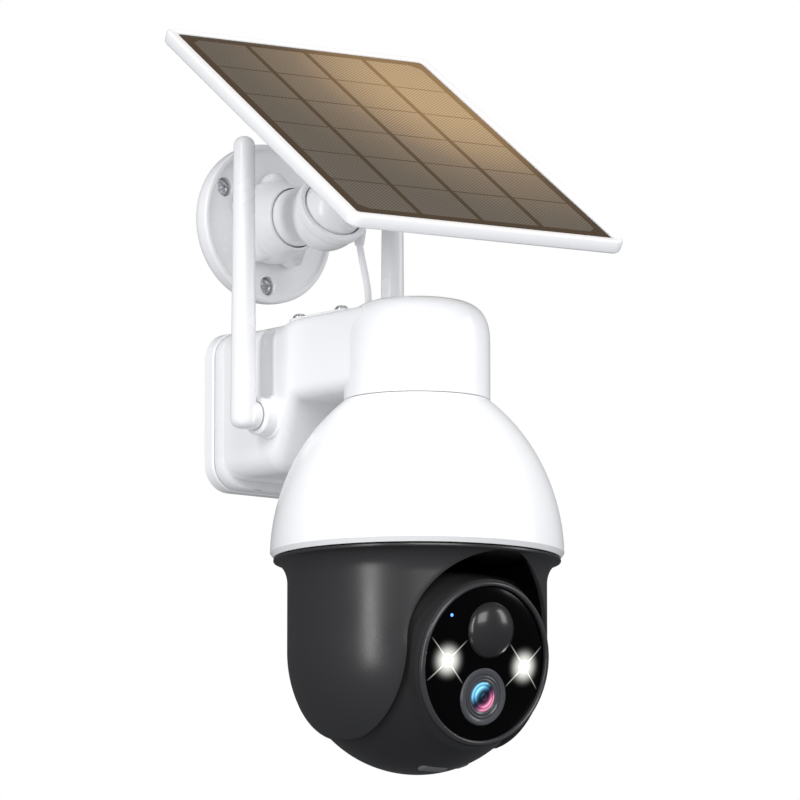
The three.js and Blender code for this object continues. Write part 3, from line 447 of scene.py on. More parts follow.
LID_SCREWS = [(-14, -46.5), (14, -46.5), (-14, -72), (14, -72)]
for number, (x, y) in enumerate(LID_SCREWS, 1):
    piece(f"lid_screw_{number}", [screw_head(2.6, 1.7, shift(x, y, 31.8))],
          chrome_steel, "mount", [f"cover_screw_{number}"])

# %% [markdown]
# ## Antennas
# Two soft-edged sticks that taper upwards. Their section is a superellipse, |x/a|^n + |y/b|^n = 1,
# between a circle and a rounded square, and its size falls to nothing at both ends.

# %% Antennas
def antenna(name, side, node_name):
    """Rows climb the stick. size(s) follows a quarter superellipse near each end."""
    low, length = -12.2, 112.8
    foot, tip, end_run = 4.6, 3.8, 4.2  # half widths, and how far each end's rounding reaches
    s = np.linspace(0, 1, 90)
    s = 0.5 - 0.5 * np.cos(np.pi * s)
    height = s * length
    end = np.minimum(height, length - height)
    bulge = (1 - (1 - np.clip(end / end_run, 0, 1)) ** 2.3) ** (1 / 2.3)
    half = (foot + (tip - foot) * s) * bulge
    a = np.linspace(0, 2 * np.pi, 64, endpoint=False)[None]
    squareness = 2 / 2.5
    x = np.sign(np.cos(a)) * np.abs(np.cos(a)) ** squareness * half[:, None]
    y = np.sign(np.sin(a)) * np.abs(np.sin(a)) ** squareness * half[:, None]
    stick = np.stack([x, y, height[:, None] + 0 * x], -1)
    knob = rounded([(0, 31, 0), (5.4, 31, 0.4), (5.4, 35, 0.6), (0, 35, 0)])
    return piece(name, [
        skin(stick, shift(side * 36.5, BOSS_Y, low)),
        turned(knob, shift(0, BOSS_Y, BOSS_Z) @ turn("Y", 90 * side), 48),
    ], white_asa, node_name + "_body", [node_name])


antenna("left_antenna_stick", -1, "antenna_left")
antenna("right_antenna_stick", 1, "antenna_right")

# %% [markdown]
# ## Dome
# The dome is a thin bell. Its outer line is a cubic curve from the rim to the neck, and the inner
# line is the same curve moved in by the wall's thickness, so both are one closed profile spun
# round.

# %% Dome shell
DOME_WALL = 2.4
t = np.linspace(0, 1, 40)[:, None]
handles = np.array([(55, -62.5), (54.6, -42.5), (46, -20), (NECK_R, -5.3)], float)
curve = ((1 - t) ** 3 * handles[0] + 3 * t * (1 - t) ** 2 * handles[1]
         + 3 * t ** 2 * (1 - t) * handles[2] + t ** 3 * handles[3])
slope = np.gradient(curve, axis=0)
slope /= np.linalg.norm(slope, axis=1, keepdims=True)
inner = (curve + DOME_WALL * np.stack([-slope[:, 1], slope[:, 0]], -1))[::-1]
dome_profile = np.vstack([
    [(51.9, -64.3), (53.7, -64.3), (54.7, -62.9)], curve,
    [(24.4, -5.3), (24.4, 0.6), (22.4, 0.6), (22.4, -7.4)], inner[2:]])
piece("dome_cover", [turned(dome_profile, PAN, 144, closed=True)],
      white_asa, "mount", ["dome_shell"])

# %% [markdown]
# ## Pan housing
# A dark cup hangs below the dome and turns with the camera. Its front is cut away by an arch and
# its sides run on down as two ears. Each row of the grid is one height: it starts at the arch's
# edge, goes round the back and ends at the arch's other edge, and below the back wall only the ears
# stay.

# %% Pan housing
LIP_R, CUP_R = 53.8, 48.5
LIP_LOW, FLARE_LOW = 33.5, 25.2  # heights above the tilt axis
FLARE_RISE = LIP_LOW - FLARE_LOW
EAR = 33.5  # half the width of the arch, and the inner face of each ear
BACK_LOW = -22.5  # where the back wall ends and only the ears run on


def housing_radius(z):
    """Outer radius at a height above the tilt axis: lip, concave flare, cylinder, then sphere."""
    climb = ((z - FLARE_LOW) / FLARE_RISE).clip(0, 1)
    flare = LIP_R - (LIP_R - CUP_R) * np.sqrt(np.clip(1 - climb ** 2, 0, 1))
    ball = np.sqrt(CUP_R ** 2 - np.minimum(z, 0) ** 2)
    return np.where(z > LIP_LOW, LIP_R, np.where(z > FLARE_LOW, flare, ball))


heights = np.concatenate([
    [34.7, 34.6, 33.9, 33.49], FLARE_LOW + FLARE_RISE * np.sin(np.linspace(1.5, 0, 16)),
    np.linspace(24.5, 0, 26), np.linspace(-1, -22, 16), np.linspace(-23, -34.5, 14)])
reach = housing_radius(heights) - np.array([0.6, 0.15] + [0] * (len(heights) - 2))
arch = np.where(heights > 0, np.sqrt(np.clip(EAR ** 2 - heights ** 2, 0, None)), EAR)
first = np.arcsin(np.clip(arch / reach, 0, 1))
second = np.pi - np.arcsin(EAR / reach)
SIDE_COLUMNS = 40
start = first[:, None] + (second - first)[:, None] * np.linspace(0, 1, SIDE_COLUMNS)
rear = second[:, None] + (2 * np.pi - 2 * second)[:, None] * np.linspace(0, 1, 50)[1:-1]
angle = np.hstack([start, rear, 2 * np.pi - start[:, ::-1]])
wall = np.stack([reach[:, None] * np.sin(angle), -reach[:, None] * np.cos(angle),
                 heights[:, None] + TILT_Z + 0 * angle], -1)
keep = np.ones((len(heights) - 1, angle.shape[1] - 1), bool)
keep[heights[1:] < BACK_LOW, SIDE_COLUMNS - 1:1 - SIDE_COLUMNS] = False
housing = piece("pan_housing_skin", [skin(wall, PAN, around=False, keep=keep)],
                dark_pcabs, "pan_unit", ["pan_housing"])
thick = housing.modifiers.new("wall", "SOLIDIFY")
thick.thickness = 0.0015
thick.offset = -1
soft = housing.modifiers.new("edge", "BEVEL")
soft.width = 0.0004
soft.segments = 2
soft.limit_method = "ANGLE"

ceiling = rounded([(8, -66.2, 0), (52, -66.2, 0), (52, -65, 0), (8, -65, 0)])
ear_rows = np.linspace(33, -34, 40)
depth = np.sqrt(housing_radius(ear_rows) ** 2 - (EAR + 2) ** 2).clip(0.5) - 0.6
walls = []
for side in (-1, 1):
    x = np.array([EAR, EAR, EAR + 1.7, EAR + 1.7])[None] * side + 0 * depth[:, None]
    y = np.array([-1, 1, 1, -1])[None] * depth[:, None]
    slab = np.stack([x, y, ear_rows[:, None] + TILT_Z + 0 * x], -1)
    middle = slab.mean(1, keepdims=True) + 0 * slab
    walls.append(skin(np.concatenate([middle[:1], slab, middle[-1:]]), PAN))
piece("pan_inner_walls", [turned(ceiling, PAN, 96, closed=True), *walls],
      dark_pcabs, "pan_unit")

# %% [markdown]
# ## Camera head
# The head is a ball with flat cheeks and a flat crown, and a short drum that carries the face. Seen
# from its centre every direction meets the skin once, so the skin is one distance per direction:
# the smallest of the limits in that direction, blended so that their meetings are rounded.

# %% Head shell
def blended(limits, power):
    """A soft minimum: (sum of limit^-p)^(-1/p). A negative power gives a soft maximum."""
    return (sum(limit ** -power for limit in limits)) ** (-1 / power)


HEAD_BALL_R, CHEEK, CROWN = 45.7, 33, 32  # the ball, its flat sides, its flat top and back
DRUM_R, DRUM_FRONT = 31.2, 38.9


def head_shell(from_deg, to_deg, rows, inset):
    """Rows are angles from the face's axis and columns go round it. A flat side at distance d
    limits a direction to d / (the direction's part along that side's axis)."""
    tilt = np.radians(np.linspace(from_deg, to_deg, rows))[:, None]
    a = np.linspace(0, 2 * np.pi, 160, endpoint=False)[None]
    dx, dy = np.sin(tilt) * np.cos(a), np.sin(tilt) * np.sin(a)  # to the right, and up
    dz = np.cos(tilt) + 0 * a  # out through the face
    far, least = 1e3, 1e-3
    cheek = CHEEK / np.maximum(np.abs(dx), least)
    crown = CROWN / np.maximum(dy, least)
    behind = CROWN / np.maximum(np.hypot(dz, np.maximum(dy, 0)), least)
    behind = np.where(dz < 0, behind, far)
    ball = blended([HEAD_BALL_R + 0 * dx, cheek, crown, behind], 26)
    # the drum narrows a little towards its front
    drum = (DRUM_R - 0.055 * (dz * 40 - 30).clip(0)) / np.maximum(np.sin(tilt), least) + 0 * a
    drum = blended([drum, DRUM_FRONT / np.maximum(dz, least)], 160)
    distance = blended([ball, np.where(dz > 0.45, drum, 1.0)], -44) - inset
    return np.stack([dx, dy, dz], -1) * distance[..., None]


for name, span, old in (("head_front_shell", (36.8, 101), "head_front"),
                        ("head_rear_shell", (101.3, 179.99), "head_rear")):
    outside = head_shell(*span, 110, 0)
    inside = head_shell(*span, 40, 2.2)[::-1]
    piece(name, [skin(np.concatenate([outside, inside]), FACE, closed=True)],
          head_pcabs, "head", [old])

FLAP_PROFILE = [(1.0, 0), (0.2, 0.1), (0, 0.5), (0, 1.0), (0.35, 1.35), (0.9, 1.5)]
DOWN = turn("X", 180)
piece("card_flap_pad", [pad(12.8, 4.4, 2, FLAP_PROFILE, HATCH @ shift(-1.4, 0, -44.6) @ DOWN)],
      dark_tpe, "flap", ["card_flap"])
BUTTON = HATCH @ turn("Y", -17) @ shift(0, 0, -44.5)  # square to the ball where the button is
piece("power_button_pad", [pad(5.6, 4.4, 2.1, FLAP_PROFILE, BUTTON @ DOWN)],
      dark_tpe, "button", ["power_button"])

# %% [markdown]
# ## Face
# A polished black acrylic window sits in a rounded rim. The motion sensor's dome is milky HDPE,
# which lets heat through, and the lens's coatings show blue and pink rings of painted reflection.

# %% Window, rim and motion sensor
# cast acrylic, dyed black and polished: a deep black with clear but weak reflections
window_acrylic = finish("window_acrylic", "#020203", 0.14, 0, 0, 0.2, Specular_IOR_Level=0.22)
WINDOW_R = 28.35
SEAT = 38.5  # the plane behind the window from which lamps and glass rise
EYE_UP = 12.3  # the sensor's dome above the face's middle, and the lens below it
rim_profile = rounded([
    (28.6, 39.2, 0), (30.4, 38.3, 0.5), (30.4, 40.2, 0.9), (29.4, 41.1, 0.7), (28.6, 40.5, 0.4)], 6)
piece("face_rim", [turned(rim_profile, FACE, 144, closed=True)],
      rim_pcabs, "head", ["face_bezel"])
# the window's front is nearly flat and rolls back at its edge
r = np.linspace(0, WINDOW_R, 40)
front = np.stack([r, 40.75 - 0.5 * (r / WINDOW_R) ** 2 - 0.9 * (r / WINDOW_R) ** 7], -1)
window_profile = np.vstack([front, [(WINDOW_R, 38.4), (0, 38.4)]])
piece("window_pane", [turned(window_profile, FACE, 144)],
      window_acrylic, "head", ["face_window"])
SENSOR_R, SENSOR_RISE = 10.4, 6.0
eye = np.linspace(0, np.pi / 2, 30)
cover = np.stack([SENSOR_R * np.sin(eye), 40.3 + SENSOR_RISE * np.cos(eye)], -1)
cover = np.vstack([cover, [(SENSOR_R, 38.6), (0, 38.6)]])
piece("motion_sensor_dome", [turned(cover, FACE @ shift(0, EYE_UP, 0), 96)],
      hdpe_lens, "head", ["motion_lens"])

# %% [markdown]
# ## Lens
# The lens is a stack of black steps round a coated glass eye. The coloured reflections of its
# coating are painted into the glass's colour and glow: blue at one side, pink at the other, in
# rings.

# %% Lens rings and glass
LENS = FACE @ shift(0, -EYE_UP, 0)
GLASS_R, GLASS_EDGE, GLASS_RISE = 6.0, 40.7, 0.8
ring_profile = [(5.4, 38.7), (10.4, 38.7), (10.6, 39.2), (10.6, 40.9), (10.2, 41.5), (9.6, 41.6),
                (8.4, 41.1), (8.2, 40.8), (7.9, 40.8), (7.8, 41.1), (7.5, 41.2), (7.2, 41.0),
                (7.0, 40.8), (6.7, 40.8), (6.6, 41.1), (6.3, 41.2), (5.8, 41.0), (5.4, 40.7)]
piece("lens_steps", [turned(ring_profile, LENS, 128, closed=True)],
      ring_alloy, "head", ["lens_ring"])

# ground glass with an anti-reflection coating: near black, with painted reflections, coloured rings
# of light painted into its colour and glow
painted_reflection_glass = finish("painted_reflection_glass", "#07080c", 0.04, Coat_Weight=1.0, Coat_Roughness=0.02)
tree = painted_reflection_glass.node_tree
spot = node(tree, "ShaderNodeUVMap", uv_map="flat").outputs[0]
parts = node(tree, "ShaderNodeSeparateXYZ", {"Vector": spot})
size = node(tree, "ShaderNodeVectorMath", {0: spot}, operation="LENGTH").outputs["Value"]
# side runs from 0 at the upper left to 1 at the lower right
across = node(tree, "ShaderNodeMath", {0: parts.outputs[0], 1: parts.outputs[1]},
              operation="SUBTRACT").outputs[0]
side = node(tree, "ShaderNodeMapRange", {
    "Value": across, "From Min": -GLASS_R, "From Max": GLASS_R})
painted_reflection_ramp = node(tree, "ShaderNodeValToRGB", {0: side.outputs[0]})
stops = painted_reflection_ramp.color_ramp.elements
stops[0].position, stops[0].color = 0.1, srgb("#6fb0d2")
stops[1].position, stops[1].color = 0.9, srgb("#cf7c9c")
for position, code in ((0.26, "#3a6f8e"), (0.44, "#151a24"), (0.58, "#2c1c3c"), (0.76, "#8a4a68")):
    stops.new(position).color = srgb(code)
# painted glints: bright and dark rings of reflected light, by distance from the glass's middle
share = node(tree, "ShaderNodeMath", {0: size, 1: GLASS_R}, operation="DIVIDE").outputs[0]
painted_glint_rings = node(tree, "ShaderNodeValToRGB", {0: share})
painted_glint_rings.color_ramp.interpolation = "EASE"
stops = painted_glint_rings.color_ramp.elements
stops[0].position, stops[0].color = 0.0, (0.02, 0.02, 0.02, 1)
stops[1].position, stops[1].color = 1.0, (0.08, 0.08, 0.08, 1)
for position, level in ((0.16, 1.3), (0.3, 0.25), (0.42, 0.6), (0.52, 1.3), (0.62, 2.2),
                        (0.72, 0.7), (0.84, 1.7), (0.92, 0.5)):
    stops.new(position).color = (level, level, level, 1)
painted_reflection_colour = node(tree, "ShaderNodeVectorMath", {0: painted_reflection_ramp.outputs[0], 1: painted_glint_rings.outputs[0]},
              operation="MULTIPLY").outputs[0]
surface = tree.nodes["Principled BSDF"]
tree.links.new(painted_reflection_colour, surface.inputs["Base Color"])
# painted light: the glass glows faintly in its painted reflection colours, though no lamp is behind
# it
tree.links.new(painted_reflection_colour, surface.inputs["Emission Color"])
surface.inputs["Emission Strength"].default_value = 0.2
r = np.linspace(GLASS_R, 0, 24)
dome = np.stack([r, GLASS_EDGE + GLASS_RISE * (1 - (r / GLASS_R) ** 2)], -1)
glass = np.vstack([[(0, SEAT), (GLASS_R, SEAT)], dome])
piece("lens_eye", [turned(glass, LENS, 96)], painted_reflection_glass, "head", ["lens_glass"],
      uv=LENS)

# %% [markdown]
# ## Lights in the face
# Two white spotlights and a small blue status light shine through the window. Each is a small clear
# dome that glows, and the window's own surface carries the light that scatters round it: a soft
# halo and four thin rays, worked out from the distance to the light.

# %% Spotlights and status light
def glow(name, code, strength):
    """A clear cover lit from behind: its emission falls towards its rim through a Layer Weight."""
    material = finish(name, code, 0.1)
    tree = material.node_tree
    rim = node(tree, "ShaderNodeLayerWeight", {"Blend": 0.3}).outputs["Facing"]
    fall = node(tree, "ShaderNodeMapRange", {
        "Value": rim, "From Min": 0.0, "From Max": 1.0, "To Min": strength,
        "To Max": strength * 0.6})
    surface = tree.nodes["Principled BSDF"]
    tree.links.new(fall.outputs[0], surface.inputs["Emission Strength"])
    surface.inputs["Emission Color"].default_value = srgb(code)
    return material


# clear moulded covers: the white one burns out, the blue one keeps its colour
spot_glow = glow("led_white", "#fffdf2", 9)
status_glow = glow("led_blue", "#5f97ff", 1.6)
SPOTS = {"left": -18.2, "right": 18.2}
lamp = rounded([
    (0, SEAT, 0), (2.6, SEAT, 0), (2.6, 40.3, 0.2), (1.9, 40.95, 0.8), (0, 41.1, 0)])
for side_name, x in SPOTS.items():
    piece(f"spotlight_{side_name}_cover", [turned(lamp, FACE @ shift(x, 0, 0), 64)],
          spot_glow, "head", [f"spotlight_{side_name}"])
dot = rounded([(0, SEAT, 0), (0.62, SEAT, 0), (0.62, 40.2, 0.2), (0, 40.5, 0)])
piece("status_light_cover", [turned(dot, FACE @ shift(-18.4, 16.6, 0), 32)],
      status_glow, "head", ["status_light"])

# %% [markdown]
# ## Scattered light
# A bright lamp behind a polished window shows a halo and thin rays. A glare filter would draw them
# over the finished picture, but then they would not turn with the camera's head, so they are
# emission on the window itself, placed by Object coordinates.

# %% Scattered light in the window
tree = window_acrylic.node_tree
inverse = np.linalg.inv(FACE)
where = node(tree, "ShaderNodeTexCoord").outputs["Object"]
scattered = None
for x in SPOTS.values():
    # the light's own x and y in the face's plane, in millimetres
    local = []
    for row in (0, 1):
        direction = inverse[row, :3] * 1000
        along = node(tree, "ShaderNodeVectorMath", {0: where, 1: direction.tolist()},
                     operation="DOT_PRODUCT").outputs["Value"]
        offset = inverse[row, 3] - (x if row == 0 else 0)
        local.append(node(tree, "ShaderNodeMath", {0: along, 1: float(offset)},
                          operation="ADD").outputs[0])
    spot = node(tree, "ShaderNodeCombineXYZ", {0: local[0], 1: local[1]}).outputs[0]
    span = node(tree, "ShaderNodeVectorMath", {0: spot}, operation="LENGTH").outputs["Value"]
    halo = node(tree, "ShaderNodeMapRange", {
        "Value": span, "From Min": 1.5, "From Max": 9.5, "To Min": 1.0, "To Max": 0.0},
        interpolation_type="SMOOTHERSTEP").outputs[0]
    halo = node(tree, "ShaderNodeMath", {0: halo, 1: 2.2}, operation="POWER").outputs[0]
    # four rays on the diagonals: bright where |x| = |y|
    flat_x, flat_y = (
        node(tree, "ShaderNodeMath", {0: part}, operation="ABSOLUTE").outputs[0] for part in local)
    apart = node(tree, "ShaderNodeMath", {0: flat_x, 1: flat_y}, operation="SUBTRACT").outputs[0]
    apart = node(tree, "ShaderNodeMath", {0: apart}, operation="ABSOLUTE").outputs[0]
    ray = node(tree, "ShaderNodeMapRange", {
        "Value": apart, "From Min": 0.0, "From Max": 0.5, "To Min": 1.0, "To Max": 0.0},
        interpolation_type="SMOOTHSTEP").outputs[0]
    fade = node(tree, "ShaderNodeMapRange", {
        "Value": span, "From Min": 2.0, "From Max": 11.5, "To Min": 1.2, "To Max": 0.0}).outputs[0]
    ray = node(tree, "ShaderNodeMath", {0: ray, 1: fade}, operation="MULTIPLY").outputs[0]
    both = node(tree, "ShaderNodeMath", {0: halo, 1: ray}, operation="ADD").outputs[0]
    scattered = both if scattered is None else node(
        tree, "ShaderNodeMath", {0: scattered, 1: both}, operation="ADD").outputs[0]
surface = tree.nodes["Principled BSDF"]
surface.inputs["Emission Color"].default_value = srgb("#f4f5ee")
tree.links.new(scattered, surface.inputs["Emission Strength"])
print("window:", len(tree.nodes), "nodes")

# %% [markdown]
# ## Solar mount
# A round base with three counterbored screws, a five-lobed lock nut, and an elbow that ends in a
# cup. The base and the cup are turned. The nut's radius is a cone's plus a bump five times round.

# %% Base and screws
base_profile = rounded([
    (0, 0, 0), (28.2, 0, 0.8), (30.6, 2.4, 3), (31.3, 5, 3), (31.3, 9.5, 1.2), (29.2, 9.5, 0.8),
    (28.4, 8.6, 0.8), (13, 8.6, 0.8), (12.9, 17.5, 0), (0, 17.5, 0)], 8)
base = piece("solar_base_disc", [turned(base_profile, MOUNT_OUT, 160)],
             white_asa, "mount", ["solar_base"])
SCREW_CIRCLE = 24.5
angles = [math.radians(angle) for angle in (30, 150, 270)]
screw_places = [(SCREW_CIRCLE * math.cos(a), SCREW_CIRCLE * math.sin(a)) for a in angles]
counterbore = [(0, 4.6), (3.8, 4.6), (3.8, 12), (0, 12)]
holes = [turned(counterbore, MOUNT_OUT @ shift(x, y, 0), 40) for x, y in screw_places]
drill = piece("drill", holes, white_asa, "mount")
cut = base.modifiers.new("counterbores", "BOOLEAN")
cut.operation = "DIFFERENCE"
cut.solver = "MANIFOLD"
cut.object = drill
bored = bpy.data.meshes.new_from_object(
    base.evaluated_get(bpy.context.evaluated_depsgraph_get()))
print("solar base with its counterbores:", len(bored.polygons), "faces")
base.modifiers.clear()
base.data = bored
base.data.set_sharp_from_angle(angle=EDGE)
bpy.data.objects.remove(drill)
for number, (x, y) in enumerate(screw_places, 1):
    piece(f"solar_screw_{number}",
          [screw_head(3.3, 1.7, MOUNT_OUT @ shift(x, y, 5.6) @ turn("Z", 20))],
          chrome_steel, "mount", [f"base_screw_{number}"])

# %% [markdown]
# ## Lock nut
# A moulded nut that is turned by hand. Its lobes could be separate lumps joined on, but one grid
# whose radius swells five times round keeps the shoulders smooth.

# %% Lock nut
nut_line = rounded([
    (13.6, 9.0, 0), (15.6, 9.0, 0.5), (16.2, 10, 0.6), (16.2, 15.6, 3), (14.6, 19.5, 4),
    (12.9, 25.2, 1), (12.5, 26, 0.4), (11.7, 26, 0), (11.7, 22.4, 0), (13.6, 22.2, 0)], 8)
r, z = nut_line.T[:, :, None]
a = np.linspace(0, 2 * np.pi, 240, endpoint=False)[None]
LOBES, LOBE_RISE = 5, 3.3
lobe = np.clip(np.cos(LOBES * (a - np.pi / 2)), 0, 1) ** 1.15
# a lobe is full on the nut's back half and fades over its shoulder; the bore has none
height = np.clip((17.6 - z) / 3.2, 0, 1) ** 0.7 * np.clip((z - 8.8) / 0.9, 0, 1) ** 0.5
swell = LOBE_RISE * lobe * height * (r > 15)
nut = np.stack([(r + swell) * np.cos(a), (r + swell) * np.sin(a), z + 0 * a], -1)
piece("lock_nut_grip", [skin(nut, MOUNT_OUT, closed=True)],
      white_asa, "nut", ["lock_nut"])

# %% [markdown]
# ## Elbow
# A moulded stub runs out of the nut and ends in the cup that grips the ball. Both are turned, each
# round its own axis, and they overlap inside, as one moulding would.

# %% Elbow and cup
stub = rounded([(0, 17.8, 0), (12.6, 17.8, 0.3), (12.6, 22, 0.3), (11.2, 22, 0), (11.2, 45, 0),
                (0, 45, 0)])
SOCKET_R = 12.3
socket = np.linspace(math.radians(5), math.radians(89), 24)
cup_profile = np.vstack([
    rounded([(0, -17, 0), (7.5, -16.3, 3), (11.4, -12.5, 4), (13.4, -7, 4), (14.0, -2.6, 0.8),
             (14.8, -2.0, 0.5), (14.8, 1.2, 0.9), (14.0, 1.6, 0.6), (12.5, 1.5, 0.4),
             (SOCKET_R, 0.6, 0)], 7),
    np.stack([SOCKET_R * np.cos(socket), -BALL_SINK - SOCKET_R * np.sin(socket)], -1),
    [(0, -BALL_SINK - SOCKET_R)]])
piece("elbow_cup", [turned(stub, MOUNT @ ELBOW_TURN @ OUT, 96),
                    turned(cup_profile, CUP, 128)],
      white_asa, "elbow", ["elbow_arm"])

# %% [markdown]
# ## Ball joint and panel
# The ball's stem runs into a flanged foot on the panel's back. The panel is a shallow tray with a
# raised lip, drawn as rounded rectangles, and the laminate of cells lies in it.

# %% Ball, stem and foot
BALL_R = 11.9
ball_angle = np.linspace(-np.pi / 2, math.radians(60), 50)
stem_profile = np.vstack([
    np.stack([BALL_R * np.cos(ball_angle), BALL_R * np.sin(ball_angle)], -1),
    rounded([(5.9, 11.2, 0), (5.6, 13, 0.8), (5.6, 22, 0.4), (3.6, 22, 0), (3.6, 32, 0),
             (0, 32, 0)])])
piece("ball_and_stem", [turned(stem_profile, BALL, 128)],
      white_asa, "ball", ["ball_stem"])
foot_profile = rounded([
    (0, 33, 0), (4.2, 33, 0), (4.2, 22.3, 0), (7.6, 22.3, 0.5), (8.1, 23, 0.4), (8.6, 29, 2.5),
    (12, 31.8, 2), (18.6, 32.7, 0.5), (19, 33.4, 0.3), (19, 34.9, 0), (0, 34.9, 0)], 8)
piece("panel_foot_flange", [turned(foot_profile, BALL, 96)],
      white_asa, "panel", ["panel_foot"])

# %% [markdown]
# ## Panel tray
# A shallow moulded tray. A profile carried round a rounded rectangle gives its soft back edge, its
# raised lip and the recess for the laminate in one piece.

# %% Panel tray
tray_profile = [(2.2, -5), (1.0, -4.75), (0.25, -4.1), (0, -3.2), (0, -0.3), (0.2, 0.25),
                (0.7, 0.6), (3.2, 0.6), (3.8, 0.35), (4.0, -0.1), (4.0, -1.9)]
piece("panel_tray", [pad(PANEL_W, PANEL_L, 5, tray_profile, PANEL)],
      white_asa, "panel", ["panel_frame"])

# %% [markdown]
# ## Solar laminate
# Twenty-four cells under an embossed film: wide seams one way, thin ones the other. Each seam is
# worked out from the distance to the nearest cell's edge, in millimetres on the sheet's own UV map,
# so the pattern stays on the sheet when the panel turns.

# %% Solar laminate
# embossed polyester film over dark cells: a soft sheen, and dots that break it up
laminate = finish("pet_laminate", "#3c3a35", 0.22, 1.6, 0.03, 0.1, Specular_IOR_Level=0.35)
tree = laminate.node_tree
spot = node(tree, "ShaderNodeUVMap", uv_map="flat").outputs[0]
parts = node(tree, "ShaderNodeSeparateXYZ", {"Vector": spot})
CELL_X, CELL_Y = 26.0, 26.6  # the cells' pitch across and along the panel, in millimetres
SEAM_SOFT, CORNER_CUT, DOT_PITCH = 0.12, 5.0, 1.5
seams, past_edge = [], []
for axis, pitch, count, half_seam in ((0, CELL_X, 4, 1.15), (1, CELL_Y, 6, 0.42)):
    half = pitch * count / 2
    away = node(tree, "ShaderNodeMath", {0: parts.outputs[axis], 1: half},
                operation="ADD").outputs[0]
    near = node(tree, "ShaderNodeMath", {0: away, 1: pitch / 2}, operation="PINGPONG").outputs[0]
    seam = node(tree, "ShaderNodeMapRange", {
        "Value": near, "From Min": half_seam - SEAM_SOFT, "From Max": half_seam + SEAM_SOFT,
        "To Min": 1.0, "To Max": 0.0}).outputs[0]
    far_out = node(tree, "ShaderNodeMath", {0: parts.outputs[axis]},
                   operation="ABSOLUTE").outputs[0]
    past = node(tree, "ShaderNodeMath", {0: far_out, 1: half}, operation="SUBTRACT").outputs[0]
    beyond = node(tree, "ShaderNodeMath", {0: past, 1: 0.0}, operation="GREATER_THAN").outputs[0]
    seams.append(
        node(tree, "ShaderNodeMath", {0: seam, 1: beyond}, operation="MAXIMUM").outputs[0])
    past_edge.append(past)
# the cells' outer corners are cut off at 45 degrees
corner = node(tree, "ShaderNodeMath", dict(enumerate(past_edge)), operation="ADD").outputs[0]
corner = node(tree, "ShaderNodeMath", {0: corner, 1: -CORNER_CUT},
              operation="GREATER_THAN").outputs[0]
seam = node(tree, "ShaderNodeMath", dict(enumerate(seams)), operation="MAXIMUM").outputs[0]
seam = node(tree, "ShaderNodeMath", {0: seam, 1: corner}, operation="MAXIMUM").outputs[0]
# a weave of dots, drawn coarser than the real embossing so that it shows
waves = []
for axis in (0, 1):
    turned_by = node(tree, "ShaderNodeMath", {
        0: parts.outputs[axis], 1: 2 * math.pi / DOT_PITCH}, operation="MULTIPLY").outputs[0]
    waves.append(node(tree, "ShaderNodeMath", {0: turned_by}, operation="SINE").outputs[0])
dots = node(tree, "ShaderNodeMath", {0: waves[0], 1: waves[1]}, operation="MULTIPLY").outputs[0]
dots = node(tree, "ShaderNodeMapRange", {
    "Value": dots, "From Min": -1.0, "From Max": 1.0, "To Min": 0.5, "To Max": 1.5}).outputs[0]
# painted reflection: a warm light's reflection on the film, painted into the cells' and seams'
# colour, brightest towards the far upper corner
stretched = node(tree, "ShaderNodeVectorMath", {0: spot, 1: (1.35, 0.9, 1.0)},
                 operation="MULTIPLY").outputs[0]
centre = node(tree, "ShaderNodeVectorMath", {0: stretched, 1: (58.0, 44.0, 0.0)},
              operation="DISTANCE").outputs["Value"]
painted_reflection = node(tree, "ShaderNodeMapRange", {
    "Value": centre, "From Min": 12.0, "From Max": 128.0, "To Min": 1.0, "To Max": 0.0},
    interpolation_type="SMOOTHSTEP").outputs[0]
# each ramp runs from the plain colour to the painted warm reflection
painted_reflection_tints = []
for cool, between, reflection_peak in (("#504f4a", "#76695a", "#b39873"),  # the cells
                               ("#29251f", "#463b2d", "#8a6d49")):  # the seams
    painted_reflection_ramp = node(tree, "ShaderNodeValToRGB", {0: painted_reflection})
    stops = painted_reflection_ramp.color_ramp.elements
    stops[0].color, stops[1].color = srgb(cool), srgb(reflection_peak)
    stops.new(0.45).color = srgb(between)
    painted_reflection_tints.append(painted_reflection_ramp.outputs[0])
cells, lines = painted_reflection_tints
dotted = node(tree, "ShaderNodeVectorMath", {0: cells, "Scale": dots}, operation="SCALE")
mixed = node(tree, "ShaderNodeMix", {"Factor": seam}, data_type="VECTOR")
tree.links.new(dotted.outputs[0], mixed.inputs[4])
tree.links.new(lines, mixed.inputs[5])
tree.links.new(mixed.outputs[1], tree.nodes["Principled BSDF"].inputs["Base Color"])
print("laminate:", len(tree.nodes), "nodes")
laminate_profile = [(0, -1.6), (0, -0.25), (0.25, 0)]
piece("laminate_sheet", [pad(109.4, 168.4, 1.7, laminate_profile, PANEL)],
      laminate, "panel", ["panel_laminate"], uv=PANEL)

# %% [markdown]
# ## Inner parts
# The board, battery cells, motors and gears keep their CAD shapes, which are right, and take the
# finish that their record slot names.

# %% Finishes for the CAD nodes
by_slot = {
    "white_abs": white_asa, "dark_abs": dark_pcabs, "soft_white": white_tpe,
    "soft_rubber": dark_tpe, "window": window_acrylic, "sensor_lens": hdpe_lens,
    "lens_glass": painted_reflection_glass, "led": spot_glow, "chrome": chrome_steel, "steel": plain_steel,
    "nylon": natural_nylon, "board": solder_mask, "cell_wrap": cell_wrap, "laminate": laminate,
}
for entry in frame["record"]["subparts"]:
    made = frame["nodes"][entry["node"]]
    made.data.materials.clear()
    made.data.materials.append(by_slot[entry["material_slot"]])

# %% [markdown]
# ## Floor
# A plain pale floor, well below the camera, so that it closes the view without touching the parts.

